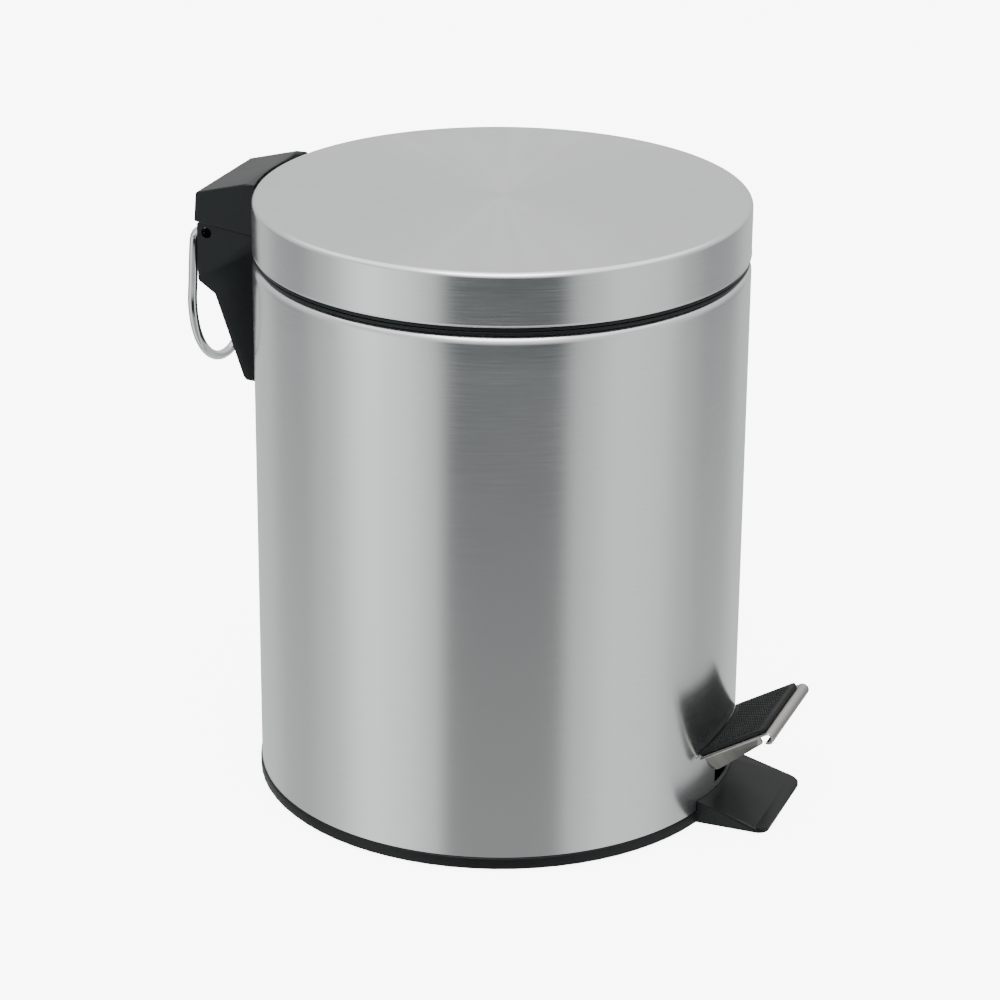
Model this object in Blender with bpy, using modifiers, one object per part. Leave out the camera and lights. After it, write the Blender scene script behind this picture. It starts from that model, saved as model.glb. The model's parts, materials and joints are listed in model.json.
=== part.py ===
"""A small round pedal bin, built as the real one comes apart.

Metres, +Z up. The origin is on the floor on the body's axis. The pedal is at -Y and the hinge at +Y.
Outlines that are swept along X are written as (y, z), and turned profiles as (radius, z).
"""

import math

import bmesh
import bpy
from mathutils import Matrix, Vector

# Clearances
GAP = 0.0003  # between pieces that touch
RUN = 0.0003  # between a pin and its hole, all round

# Body, base and rim
BODY_R = 0.1025
BODY_SHEET = 0.0007
BODY_BOTTOM = 0.0060
BODY_TOP = 0.2310
SHOULDER_R = 0.0040
SHOULDER_LIP = 0.0015  # flat turned in at the top, inside the shoulder
BASE_LEDGE = 0.0006  # how far the base ring stands out past the body
BASE_BOTTOM = 0.0006
BASE_FLOOR = 0.0024
BASE_WALL = 0.0025
BASE_WALL_TOP = 0.0140
RIM_LIP = 0.0013
RIM_INSET = 0.0006  # how far the two black lips stand inside the body's face
RIM_WALL = 0.0016
RIM_DEPTH = 0.0090

# Foot under the pedal, as wide as the pedal
PEDAL_HALF = 0.0260
FOOT_HALF = PEDAL_HALF
FOOT_FRONT = BODY_R + 0.0271
FOOT_CORNER = 0.0045
FOOT_RISE = 0.0105  # height against the body
FOOT_TIP = 0.0021  # height at the front
FOOT_WALL = 0.0020
PAD_R = 0.0070
PAD_HEIGHT = 0.0017
PAD_POCKET = 0.0014
PAD_CIRCLE = BODY_R - 0.0175
PAD_COUNT = 4

# Lid
LID_R = BODY_R - 0.0001
LID_SHEET = 0.0007
LID_EDGE_R = 0.0022
LID_SKIRT = 0.0219
LINER_LIP = 0.0013
LINER_WALL = 0.0015
LID_TOP = BODY_TOP + 2 * GAP + RIM_LIP + GAP + LINER_LIP + LID_SKIRT
SKIRT_BOTTOM = LID_TOP - LID_SKIRT
RIM_TOP = BODY_TOP + GAP + RIM_LIP
LIP_R = BODY_R - RIM_INSET

# Lid hinge
PIN_Y = BODY_R + 0.0190
PIN_Z = BODY_TOP + 0.0150
PIN_R = 0.00175
EAR_R = 0.0036
EAR_IN = 0.0100
EAR_OUT = 0.0140
EAR_NECK = 0.0002  # how far the ear's neck reaches behind the pin
LID_OPEN = math.radians(80)

# Hinge bracket
BRACKET_HALF = 0.0253
BRACKET_BACK = BODY_R + 0.0239
BRACKET_LOW = BODY_TOP - 0.0616
BRACKET_TOP = BODY_TOP + 0.0061
BRACKET_TOP_SLOPE = 0.143
BRACKET_WALL = 0.0016
BRACKET_FRONT_WALL = 0.0032
BRACKET_RELIEF = 0.0016
BRACKET_RELIEF_Z = BODY_TOP - 0.0036
BRACKET_STEP = BODY_TOP - 0.0194  # where its back turns in
WINDOW_HALF = 0.0055

# Hinge cover
COVER_HALF = BRACKET_HALF + 0.0018
COVER_BACK = BODY_R + 0.0247
COVER_BACK_TOP = (BODY_R + 0.0237, LID_TOP - 0.0060)
COVER_KINK_Y = BODY_R + 0.0010
COVER_WALL = 0.0015
COVER_BOTTOM = BODY_TOP + 0.0066
COVER_SLOPE = 0.136

# Crank and push rod
CRANK_ARM = 0.0135
CRANK_HALF = 0.0080
CRANK_WEB_HALF = 0.0030
CRANK_HUB_R = 0.0038
CRANK_PLATE = 0.0015
CRANK_PLATE_HALF = 0.0160
NOSE_R = 0.0025
ROD_R = 0.0020
ROD_LOW_Y = BODY_R - 0.0075
ROD_HIGH_Y = BODY_R + 0.0071
ROD_JOG_LOW = BODY_TOP - 0.0470
ROD_JOG_HIGH = BODY_TOP - 0.0280
ROD_TOP_GAP = 0.0006
ROD_FOOT_GAP = 0.0004
GUIDE_Z = 0.1200
GUIDE_HEIGHT = 0.0060
GUIDE_HALF = 0.0050

# Pedal
PEDAL_IN = (0.0040 - BODY_R, 0.0300)
PEDAL_OUT = (-BODY_R - 0.0251, 0.0471)
PEDAL_SHEET = 0.0010
PEDAL_CLEAR = 0.0009
ROLL_R = 0.0026
FLANGE_START = 0.0036
FLANGE_END = 0.0308
FLANGE_DEEP = 0.0079
FLANGE_SHALLOW = 0.0037
FLANGE_CORNER = 0.0035
TREAD_HALF = PEDAL_HALF - 0.0008
TREAD_HEIGHT = 0.0022
TREAD_CORNER = 0.0030

# Lever
LEVER_HALF = 0.0096
LEVER_SHEET = 0.0016
LEVER_TAIL = (BODY_R - 0.0045, 0.0080)
LEVER_KNEE = (0.0165 - BODY_R, 0.0150)
LEVER_BEND = 0.0060
LEVER_REACH = 0.0230  # how far it runs along under the pedal plate
AXLE_Y = -0.0200
AXLE_Z = 0.0086
AXLE_R = 0.0025
LEVER_EAR_R = 0.0044
POST_IN = 0.0106
POST_OUT = 0.0136
POST_HALF_Y = 0.0050
CLIP_R = 0.0045
CLIP_THICK = 0.0012
SLOT_LOW = 0.0124
SLOT_HIGH = 0.0318
SLOT_SIDE = 0.0009

# Bucket
BUCKET_TOP_R = BODY_R - 0.0120
BUCKET_FOOT_R = BODY_R - 0.0185
BUCKET_BOTTOM = 0.0310
BUCKET_WALL = 0.0015
BUCKET_FLANGE_R = BODY_R - 0.0055
BUCKET_FLANGE = 0.0017
LUG_IN = BODY_R - 0.0133
LUG_OUT = BODY_R - 0.0113
LUG_HALF = 0.0045
LUG_HOLE_Z = 0.0039
BAIL_R = 0.0015
BAIL_LOOP_R = BODY_R - 0.0093

# Carrying handle
WIRE_R = 0.0020
WIRE_PIVOT = (BODY_R + 0.0196, BODY_TOP + 0.0017)
WIRE_TOP_X = BRACKET_HALF - 0.0040
WIRE_WIDE_X = BRACKET_HALF + 0.0023
WIRE_LOW_Z = BODY_TOP - 0.0597
WIRE_LOW_Y = BODY_R + 0.0238
NOTCH_DROP = 0.0014  # room under each leg where it leaves the bracket

# Screws
SCREW_R = 0.0015
SCREW_HEAD_R = 0.0032
SCREW_HEAD = 0.0018
BRACKET_SCREW = (0.0140, BODY_TOP - 0.0410)
COVER_SCREW = (0.0120, BODY_TOP + 0.0145)

STEPS = 72
ARC_STEP = math.radians(18)

PARTS = "pedal_bin"
CUTTERS = "cutters"


def clear_scene():
    for obj in list(bpy.data.objects):
        bpy.data.objects.remove(obj, do_unlink=True)


def collection(name):
    found = bpy.data.collections.get(name)
    if found is None:
        found = bpy.data.collections.new(name)
        bpy.context.scene.collection.children.link(found)
    return found


def material(name, colour, roughness, metallic=0.0):
    made = bpy.data.materials.get(name)
    if made is None:
        made = bpy.data.materials.new(name)
        made.use_nodes = True
        shader = made.node_tree.nodes["Principled BSDF"]
        shader.inputs["Base Color"].default_value = (*colour, 1.0)
        shader.inputs["Roughness"].default_value = roughness
        shader.inputs["Metallic"].default_value = metallic
    return made


def brushed_steel(name):
    return material(name, (0.62, 0.62, 0.61), 0.28, 1.0)


def bright_wire(name):
    return material(name, (0.80, 0.80, 0.81), 0.08, 1.0)


def plain_steel(name):
    return material(name, (0.50, 0.50, 0.50), 0.40, 1.0)


def black_plastic(name):
    return material(name, (0.018, 0.022, 0.024), 0.38)


def black_rubber(name):
    return material(name, (0.014, 0.016, 0.017), 0.70)


def place(name, mesh, finish=None):
    """Links a mesh as a part where a finish is given, and as a hidden cutter where none is."""
    obj = bpy.data.objects.new(name, mesh)
    if finish is None:
        obj.hide_render = True
        obj.display_type = "WIRE"
        collection(CUTTERS).objects.link(obj)
    else:
        mesh.materials.append(finish(name))
        collection(PARTS).objects.link(obj)
    return obj


def modify(obj, kind, **settings):
    modifier = obj.modifiers.new(kind.lower(), kind)
    for key, value in settings.items():
        setattr(modifier, key, value)
    return modifier


def cut(obj, *cutters):
    for cutter in cutters:
        modify(obj, "BOOLEAN", operation="DIFFERENCE", object=cutter, solver="EXACT")


def join(obj, *others):
    for other in others:
        modify(obj, "BOOLEAN", operation="UNION", object=other, solver="EXACT")


def soften(obj, width, segments=2):
    """Bevels the sharp edges. The faces are then split into triangles, which cut cleanly."""
    modify(obj, "BEVEL", width=width, segments=segments, limit_method="ANGLE", angle_limit=0.6)
    modify(obj, "TRIANGULATE")


def shade(obj):
    obj.data.shade_smooth()
    obj.data.set_sharp_from_angle(angle=math.radians(35))


def arc(centre, radius, start, end):
    """Points on a circle from one angle to another, both ends included."""
    count = max(2, math.ceil(abs(end - start) / ARC_STEP) + 1)
    angles = [start + (end - start) * i / (count - 1) for i in range(count)]
    return [(centre[0] + radius * math.cos(a), centre[1] + radius * math.sin(a)) for a in angles]


def rounded(corners):
    """An outline from (a, b, radius) corners, where a radius above zero becomes an arc."""
    points = []
    for i, (a, b, radius) in enumerate(corners):
        here = Vector((a, b))
        if radius == 0:
            points.append((a, b))
            continue
        before = (Vector(corners[i - 1][:2]) - here).normalized()
        after = (Vector(corners[(i + 1) % len(corners)][:2]) - here).normalized()
        half = before.angle(after) / 2
        centre = here + (before + after).normalized() * radius / math.sin(half)
        first = here + before * radius / math.tan(half) - centre
        turn = first.angle_signed(here + after * radius / math.tan(half) - centre)
        start = math.atan2(first.y, first.x)
        points += arc(centre, radius, start, start - turn)
    return points


def curve_mesh(name, curve, turn):
    """The solid of a curve as a mesh with its caps welded on, in world places."""
    obj = bpy.data.objects.new(name, curve)
    obj.matrix_world = turn
    bpy.context.scene.collection.objects.link(obj)
    bpy.context.view_layer.update()
    graph = bpy.context.evaluated_depsgraph_get()
    mesh = bpy.data.meshes.new_from_object(obj.evaluated_get(graph))
    mesh.name = name
    mesh.materials.clear()
    mesh.transform(turn)
    bpy.data.objects.remove(obj, do_unlink=True)
    bpy.data.curves.remove(curve)
    work = bmesh.new()
    work.from_mesh(mesh)
    bmesh.ops.remove_doubles(work, verts=work.verts, dist=1e-6)
    bmesh.ops.recalc_face_normals(work, faces=work.faces)
    work.to_mesh(mesh)
    work.free()
    return mesh


def flat_solid(name, outline, low, high, turn, finish):
    curve = bpy.data.curves.new(name, "CURVE")
    curve.dimensions = "2D"
    curve.fill_mode = "BOTH"
    curve.extrude = (high - low) / 2
    spline = curve.splines.new("POLY")
    spline.points.add(len(outline) - 1)
    for point, (a, b) in zip(spline.points, outline):
        point.co = (a, b, 0, 1)
    spline.use_cyclic_u = True
    shift = Matrix.Translation((0, 0, (low + high) / 2))
    return place(name, curve_mesh(name, curve, turn @ shift), finish)


ACROSS = Matrix(((0, 0, 1, 0), (1, 0, 0, 0), (0, 1, 0, 0), (0, 0, 0, 1)))


def across(name, outline, low, high, finish=None):
    """A (y, z) outline made solid from x = low to x = high."""
    return flat_solid(name, outline, low, high, ACROSS, finish)


def upright(name, outline, low, high, finish=None):
    """An (x, y) outline made solid from z = low to z = high."""
    return flat_solid(name, outline, low, high, Matrix.Identity(4), finish)


def turned(name, profile, finish=None, closed=False, steps=STEPS):
    """A (radius, z) profile turned about Z. It runs down the outer side."""
    mesh = bpy.data.meshes.new(name)
    count = len(profile)
    edges = [(i, i + 1) for i in range(count - 1)]
    if closed:
        edges.append((count - 1, 0))
    mesh.from_pydata([(r, 0, z) for r, z in profile], edges, [])
    obj = place(name, mesh, finish)
    modify(
        obj,
        "SCREW",
        axis="Z",
        angle=math.tau,
        steps=steps,
        render_steps=steps,
        use_merge_vertices=True,
        merge_threshold=0.00001,
    )
    return obj


def box(name, low, high, finish=None):
    work = bmesh.new()
    size = Vector(high) - Vector(low)
    middle = (Vector(high) + Vector(low)) / 2
    placed = Matrix.Translation(middle) @ Matrix.Diagonal((*size, 1))
    bmesh.ops.create_cube(work, size=1, matrix=placed)
    mesh = bpy.data.meshes.new(name)
    work.to_mesh(mesh)
    work.free()
    return place(name, mesh, finish)


def bar(name, radius, start, end, finish=None, segments=24):
    """A round bar between two points."""
    start = Vector(start)
    end = Vector(end)
    aim = (end - start).to_track_quat("Z", "Y").to_matrix().to_4x4()
    work = bmesh.new()
    bmesh.ops.create_cone(
        work,
        cap_ends=True,
        segments=segments,
        radius1=radius,
        radius2=radius,
        depth=(end - start).length,
        matrix=Matrix.Translation((start + end) / 2) @ aim,
    )
    mesh = bpy.data.meshes.new(name)
    work.to_mesh(mesh)
    work.free()
    return place(name, mesh, finish)


def cross_bar(name, radius, centre, low, high, finish=None, segments=24):
    """A round bar along X, centred on a (y, z) point."""
    return bar(name, radius, (low, *centre), (high, *centre), finish, segments)


def wire(name, points, radius, finish):
    """A round wire along a list of points."""
    curve = bpy.data.curves.new(name, "CURVE")
    curve.dimensions = "3D"
    curve.bevel_depth = radius
    curve.bevel_resolution = 3
    curve.use_fill_caps = True
    spline = curve.splines.new("POLY")
    spline.points.add(len(points) - 1)
    for point, place_ in zip(spline.points, points):
        point.co = (*place_, 1)
    return place(name, curve_mesh(name, curve, Matrix.Identity(4)), finish)


def smooth_path(points, steps):
    """Points along a curve that passes evenly through the given ones (Catmull-Rom)."""
    pts = [Vector(p) for p in points]
    pts = [2 * pts[0] - pts[1], *pts, 2 * pts[-1] - pts[-2]]
    path = []
    for a, b, c, d in zip(pts, pts[1:], pts[2:], pts[3:]):
        for i in range(steps):
            t = i / steps
            path.append(
                0.5 * (2 * b + (c - a) * t + (2 * a - 5 * b + 4 * c - d) * t * t)
                + 0.5 * (3 * b - 3 * c + d - a) * t * t * t
            )
    return [*path, pts[-2]]


# Places along the sloping pedal plate


def pedal_point(along, down):
    """(y, z) of a point measured along the plate from its inner end, and square to it below its top."""
    start = Vector(PEDAL_IN)
    way = (Vector(PEDAL_OUT) - start).normalized()
    below = Vector((-way.y, way.x))
    if below.y > 0:
        below = -below
    found = start + way * along + below * down
    return (found.x, found.y)


def pedal_length():
    return (Vector(PEDAL_OUT) - Vector(PEDAL_IN)).length


# Body


def make_body_shell():
    inner_r = BODY_R - BODY_SHEET
    bend = (BODY_R - SHOULDER_R, BODY_TOP - SHOULDER_R)
    lip_r = bend[0] - SHOULDER_LIP
    profile = [(lip_r, BODY_TOP)]
    profile += arc(bend, SHOULDER_R, math.pi / 2, 0)
    profile += [(BODY_R, BODY_BOTTOM), (inner_r, BODY_BOTTOM)]
    profile += arc(bend, SHOULDER_R - BODY_SHEET, 0, math.pi / 2)
    profile.append((lip_r, BODY_TOP - BODY_SHEET))
    shell = turned("body_shell", profile, brushed_steel, closed=True)
    slot_half = LEVER_HALF + SLOT_SIDE
    front = -BODY_R - BODY_SHEET
    back = BODY_R + BODY_SHEET
    pedal_slot = box(
        "cut_pedal_slot", (-slot_half, front, SLOT_LOW), (slot_half, front / 2, SLOT_HIGH)
    )
    rod_slot = box(
        "cut_rod_slot",
        (-ROD_R - SLOT_SIDE, back / 2, ROD_JOG_LOW + 0.005),
        (ROD_R + SLOT_SIDE, back, ROD_JOG_HIGH + rod_travel() - 0.004),
    )
    cut(shell, pedal_slot, rod_slot, *bracket_screw_holes())
    shade(shell)


def bracket_screw_holes():
    x, z = BRACKET_SCREW
    found = []
    for side in (-1, 1):
        name = "cut_bracket_screw_" + str(side)
        hole = bpy.data.objects.get(name)
        if hole is None:
            start = (side * x, BODY_R * 0.9, z)
            hole = bar(name, SCREW_R + RUN, start, (side * x, BRACKET_BACK, z), None, 16)
        found.append(hole)
    return found


def make_base_tray():
    ring_r = BODY_R + BASE_LEDGE
    wall_r = BODY_R - BODY_SHEET - GAP
    inner_r = wall_r - BASE_WALL
    floor = BASE_BOTTOM + BASE_FLOOR
    seat = BODY_BOTTOM - GAP
    profile = [
        (0, floor),
        (inner_r, floor),
        (inner_r, BASE_WALL_TOP),
        (wall_r, BASE_WALL_TOP),
        (wall_r, seat),
        (ring_r - 0.0004, seat),
        (ring_r, seat - 0.0004),
        (ring_r, BASE_BOTTOM + 0.0006),
        (ring_r - 0.0006, BASE_BOTTOM),
        (0, BASE_BOTTOM),
    ]
    tray = turned("base_tray", profile, black_plastic)
    join(tray, foot_block(), *axle_posts())
    cut(tray, foot_hollow(), lever_gate())
    for i in range(PAD_COUNT):
        x, y = pad_place(i)
        pocket_r = PAD_R + GAP
        pocket = bar(
            "cut_pad_" + str(i + 1),
            pocket_r,
            (x, y, 0),
            (x, y, BASE_BOTTOM + PAD_POCKET),
        )
        cut(tray, pocket)
    shade(tray)


def pad_place(i):
    turn = math.tau * (i + 0.5) / PAD_COUNT
    return PAD_CIRCLE * math.cos(turn), PAD_CIRCLE * math.sin(turn)


def foot_block():
    """The wedge under the pedal, rounded in plan and sloping down to its tip."""
    root = -BODY_R * 0.95
    plan = rounded(
        [
            (-FOOT_HALF, root, 0),
            (-FOOT_HALF, -FOOT_FRONT, FOOT_CORNER),
            (FOOT_HALF, -FOOT_FRONT, FOOT_CORNER),
            (FOOT_HALF, root, 0),
        ]
    )
    block = upright("cut_foot_block", plan, BASE_BOTTOM, FOOT_RISE)
    body_front = -math.sqrt(BODY_R**2 - FOOT_HALF**2)
    slope = (FOOT_RISE - FOOT_TIP) / (FOOT_FRONT + body_front)
    above = across(
        "cut_foot_slope",
        [
            (body_front, FOOT_RISE),
            (-FOOT_FRONT - 0.01, FOOT_TIP - 0.01 * slope),
            (-FOOT_FRONT - 0.01, 2 * FOOT_RISE),
            (body_front, 2 * FOOT_RISE),
        ],
        -FOOT_HALF * 1.2,
        FOOT_HALF * 1.2,
    )
    cut(block, above)
    clear = BODY_R + GAP
    room = bar(
        "cut_foot_body", clear, (0, 0, BODY_BOTTOM - GAP), (0, 0, 2 * FOOT_RISE), None, STEPS
    )
    cut(block, room)
    return block


def foot_hollow():
    """The foot is a shell that is open underneath."""
    front = -FOOT_FRONT + 3 * FOOT_WALL
    back = -BODY_R - BASE_LEDGE
    slope = (FOOT_RISE - FOOT_TIP) / (FOOT_FRONT - math.sqrt(BODY_R**2 - FOOT_HALF**2))
    front_top = FOOT_TIP + (FOOT_FRONT + front) * slope - FOOT_WALL
    back_top = FOOT_TIP + (FOOT_FRONT + back) * slope - FOOT_WALL
    outline = [(back, -0.001), (back, back_top), (front, front_top), (front, -0.001)]
    return across("cut_foot_hollow", outline, -FOOT_HALF + FOOT_WALL, FOOT_HALF - FOOT_WALL)


def lever_gate():
    """A notch in the base's upright wall where the lever dips through."""
    half = LEVER_HALF + SLOT_SIDE
    low = BASE_BOTTOM + BASE_FLOOR + GAP
    return box("cut_lever_gate", (-half, -BODY_R + BODY_SHEET / 2, low), (half, -BODY_R * 0.88, 0.02))


def axle_posts():
    found = []
    for side in (-1, 1):
        outline = rounded(
            [
                (AXLE_Y - POST_HALF_Y, BASE_BOTTOM + BASE_FLOOR / 2, 0),
                (AXLE_Y + POST_HALF_Y, BASE_BOTTOM + BASE_FLOOR / 2, 0),
                (AXLE_Y + POST_HALF_Y, AXLE_Z + POST_HALF_Y, 0.003),
                (AXLE_Y - POST_HALF_Y, AXLE_Z + POST_HALF_Y, 0.003),
            ]
        )
        low, high = sorted((side * POST_IN, side * POST_OUT))
        post = across("cut_post_" + str(side), outline, low, high)
        hole = cross_bar(
            "cut_post_hole_" + str(side), AXLE_R + RUN, (AXLE_Y, AXLE_Z), low - 0.001, high + 0.001
        )
        cut(post, hole)
        found.append(post)
    return found


def make_foot_pads():
    for i in range(PAD_COUNT):
        x, y = pad_place(i)
        pad = bar("foot_pad_" + str(i + 1), PAD_R, (x, y, 0), (x, y, PAD_HEIGHT), black_rubber)
        shade(pad)


def make_rim_ring():
    wall_r = BODY_R - SHOULDER_R - SHOULDER_LIP - GAP
    inner_r = wall_r - RIM_WALL
    under = BODY_TOP + GAP
    profile = [
        (inner_r, RIM_TOP),
        (LIP_R - 0.0003, RIM_TOP),
        (LIP_R, RIM_TOP - 0.0003),
        (LIP_R, under),
        (wall_r, under),
        (wall_r, under - RIM_DEPTH),
        (inner_r, under - RIM_DEPTH),
    ]
    shade(turned("rim_ring", profile, black_plastic, closed=True))


# Lid


def make_lid_shell():
    corner = (LID_R - LID_EDGE_R, LID_TOP - LID_EDGE_R)
    inner_r = LID_R - LID_SHEET
    profile = [(0, LID_TOP)]
    profile += arc(corner, LID_EDGE_R, math.pi / 2, 0)
    profile += [(LID_R, SKIRT_BOTTOM), (inner_r, SKIRT_BOTTOM)]
    profile += arc(corner, LID_EDGE_R - LID_SHEET, 0, math.pi / 2)
    profile.append((0, LID_TOP - LID_SHEET))
    shell = turned("lid_shell", profile, brushed_steel)
    cut(shell, *cover_screw_holes())
    shade(shell)


def make_lid_liner():
    wall_r = LID_R - LID_SHEET - GAP
    inner_r = wall_r - LINER_WALL
    roof = LID_TOP - LID_SHEET - GAP
    under = roof - LINER_WALL
    lip_top = SKIRT_BOTTOM - GAP
    corner = (LID_R - LID_EDGE_R, LID_TOP - LID_EDGE_R)
    profile = [(0, roof)]
    profile += arc(corner, LID_EDGE_R - LID_SHEET - GAP, math.pi / 2, 0)
    profile += [
        (wall_r, lip_top),
        (LIP_R, lip_top),
        (LIP_R, lip_top - LINER_LIP),
        (inner_r, lip_top - LINER_LIP),
        (inner_r, under),
        (0, under),
    ]
    liner = turned("lid_liner", profile, black_plastic)
    cut(liner, *cover_screw_holes())
    shade(liner)


def cover_screw_holes():
    x, z = COVER_SCREW
    found = []
    for side in (-1, 1):
        name = "cut_cover_screw_" + str(side)
        hole = bpy.data.objects.get(name)
        if hole is None:
            start = (side * x, LID_R * 0.94, z)
            hole = bar(name, SCREW_R + RUN, start, (side * x, PIN_Y - 0.01, z), None, 16)
        found.append(hole)
    return found


def make_hinge_cover():
    top = LID_TOP
    inside = LID_R * 0.93
    outline = [
        (inside, COVER_BOTTOM - (COVER_BACK - inside) * COVER_SLOPE),
        (COVER_BACK, COVER_BOTTOM),
        COVER_BACK_TOP,
        (COVER_KINK_Y, top),
        (inside, top),
    ]
    cover = across("hinge_cover", outline, -COVER_HALF, COVER_HALF, black_plastic)
    soften(cover, 0.0010)
    hug = bar(
        "cut_cover_lid", LID_R + GAP, (0, 0, BODY_TOP - 0.03), (0, 0, LID_TOP + 0.01), None, STEPS
    )
    cut(cover, hug, cover_cavity(), *cover_screw_holes())
    shade(cover)


def cover_cavity():
    """The room inside the cover, behind the wall that hugs the lid.

    The back wall stops level with the pin, so that it can pass over the bracket.
    """
    back = COVER_BACK_TOP[0] - COVER_WALL / 2
    slope = (LID_TOP - COVER_BACK_TOP[1]) / (COVER_BACK_TOP[0] - COVER_KINK_Y)
    roof = COVER_WALL * math.sqrt(1 + slope**2)
    outline = [
        (LID_R, COVER_BOTTOM - 0.01),
        (COVER_BACK + 0.002, COVER_BOTTOM - 0.01),
        (COVER_BACK + 0.002, PIN_Z),
        (back, PIN_Z),
        (back, COVER_BACK_TOP[1] - roof + slope * (COVER_BACK_TOP[0] - back)),
        (COVER_KINK_Y, LID_TOP - roof),
        (LID_R, LID_TOP - roof),
    ]
    half = BRACKET_HALF + GAP
    cavity = across("cut_cover_cavity", outline, -half, half)
    front = bar(
        "cut_cover_front",
        LID_R + GAP + COVER_WALL,
        (0, 0, BODY_TOP - 0.03),
        (0, 0, LID_TOP + 0.01),
        None,
        STEPS,
    )
    cut(cavity, front)
    return cavity


def nose_place(angle):
    """(y, z) of the crank's nose with the lid open by this angle."""
    turn = math.pi + LID_OPEN / 2 - angle
    return (PIN_Y + CRANK_ARM * math.cos(turn), PIN_Z + CRANK_ARM * math.sin(turn))


def rod_travel():
    return nose_place(LID_OPEN)[1] - nose_place(0)[1]


def rod_top():
    return nose_place(0)[1] - NOSE_R - ROD_TOP_GAP


def make_lid_crank():
    plate_front = LID_R + GAP + COVER_WALL + GAP
    plate_back = plate_front + CRANK_PLATE
    x, z = COVER_SCREW
    plate = box(
        "lid_crank",
        (-CRANK_PLATE_HALF, plate_front, z - 0.0035),
        (CRANK_PLATE_HALF, plate_back, z + 0.0035),
        plain_steel,
    )
    web = across(
        "cut_crank_web",
        [
            (plate_back - CRANK_PLATE / 2, z - 0.0025),
            (PIN_Y, PIN_Z - 0.0025),
            (PIN_Y, PIN_Z + 0.0025),
            (plate_back - CRANK_PLATE / 2, z + 0.0025),
        ],
        -CRANK_WEB_HALF,
        CRANK_WEB_HALF,
    )
    hub = cross_bar("cut_crank_hub", CRANK_HUB_R, (PIN_Y, PIN_Z), -CRANK_HALF, CRANK_HALF)
    nose_y, nose_z = nose_place(0)
    nose = cross_bar(
        "cut_crank_nose", NOSE_R, (nose_y, nose_z), -CRANK_WEB_HALF - 0.001, CRANK_WEB_HALF + 0.001
    )
    way = Vector((nose_y - PIN_Y, nose_z - PIN_Z)).normalized()
    side = Vector((-way.y, way.x)) * 0.0015
    pin = Vector((PIN_Y, PIN_Z))
    tip = Vector((nose_y, nose_z))
    arm = across(
        "cut_crank_arm",
        [tuple(pin + side), tuple(tip + side), tuple(tip - side), tuple(pin - side)],
        -CRANK_WEB_HALF + 0.0002,
        CRANK_WEB_HALF - 0.0002,
    )
    join(plate, web, hub, arm, nose)
    bore = cross_bar(
        "cut_crank_bore", PIN_R + RUN, (PIN_Y, PIN_Z), -2 * CRANK_HALF, 2 * CRANK_HALF
    )
    cut(plate, bore, *cover_screw_holes())
    shade(plate)


def screw(name, head_face, tip, finish=plain_steel):
    """A pan-head screw from its head's seat to its tip."""
    seat = Vector(head_face)
    way = (Vector(tip) - seat).normalized()
    body = bar(name, SCREW_R, seat - way * SCREW_HEAD / 2, tip, finish, 16)
    head = bar("cut_" + name + "_head", SCREW_HEAD_R, seat - way * SCREW_HEAD, seat, None, 24)
    join(body, head)
    shade(body)


def make_screws():
    x, z = COVER_SCREW
    seat = LID_R + 2 * GAP + COVER_WALL + CRANK_PLATE + GAP
    for side, word in ((-1, "left"), (1, "right")):
        tip = LID_R - LID_SHEET - GAP - 2 * LINER_WALL
        screw("cover_screw_" + word, (side * x, seat, z), (side * x, tip, z))
    x, z = BRACKET_SCREW
    seat = math.sqrt((BODY_R - BODY_SHEET) ** 2 - (x + SCREW_HEAD_R) ** 2) - GAP
    for side, word in ((-1, "left"), (1, "right")):
        tip = BODY_R + BRACKET_FRONT_WALL
        screw("bracket_screw_" + word, (side * x, seat, z), (side * x, tip, z))


def make_hinge_pin():
    pin = cross_bar(
        "hinge_pin", PIN_R, (PIN_Y, PIN_Z), -EAR_OUT - 0.0008, EAR_OUT + 0.0008, plain_steel
    )
    shade(pin)


# Bracket


def bracket_outline(inset, front, top):
    """The bracket's side view, moved in by a wall, from a front line to a top height."""
    back = BRACKET_BACK - inset
    low = BRACKET_LOW + inset
    return rounded(
        [
            (front, low, 0),
            (BODY_R + 0.0027 - inset, low + 0.0006, 0.0010),
            (BODY_R + 0.0039 - inset, low + 0.0020, 0.0010),
            (BODY_R + 0.0163 - inset, BRACKET_STEP - 0.0051, 0.0010),
            (back, BRACKET_STEP, 0.0015),
            (back, top, 0.0010),
            (front, top - (back - front) * BRACKET_TOP_SLOPE, 0),
        ]
    )


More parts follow.
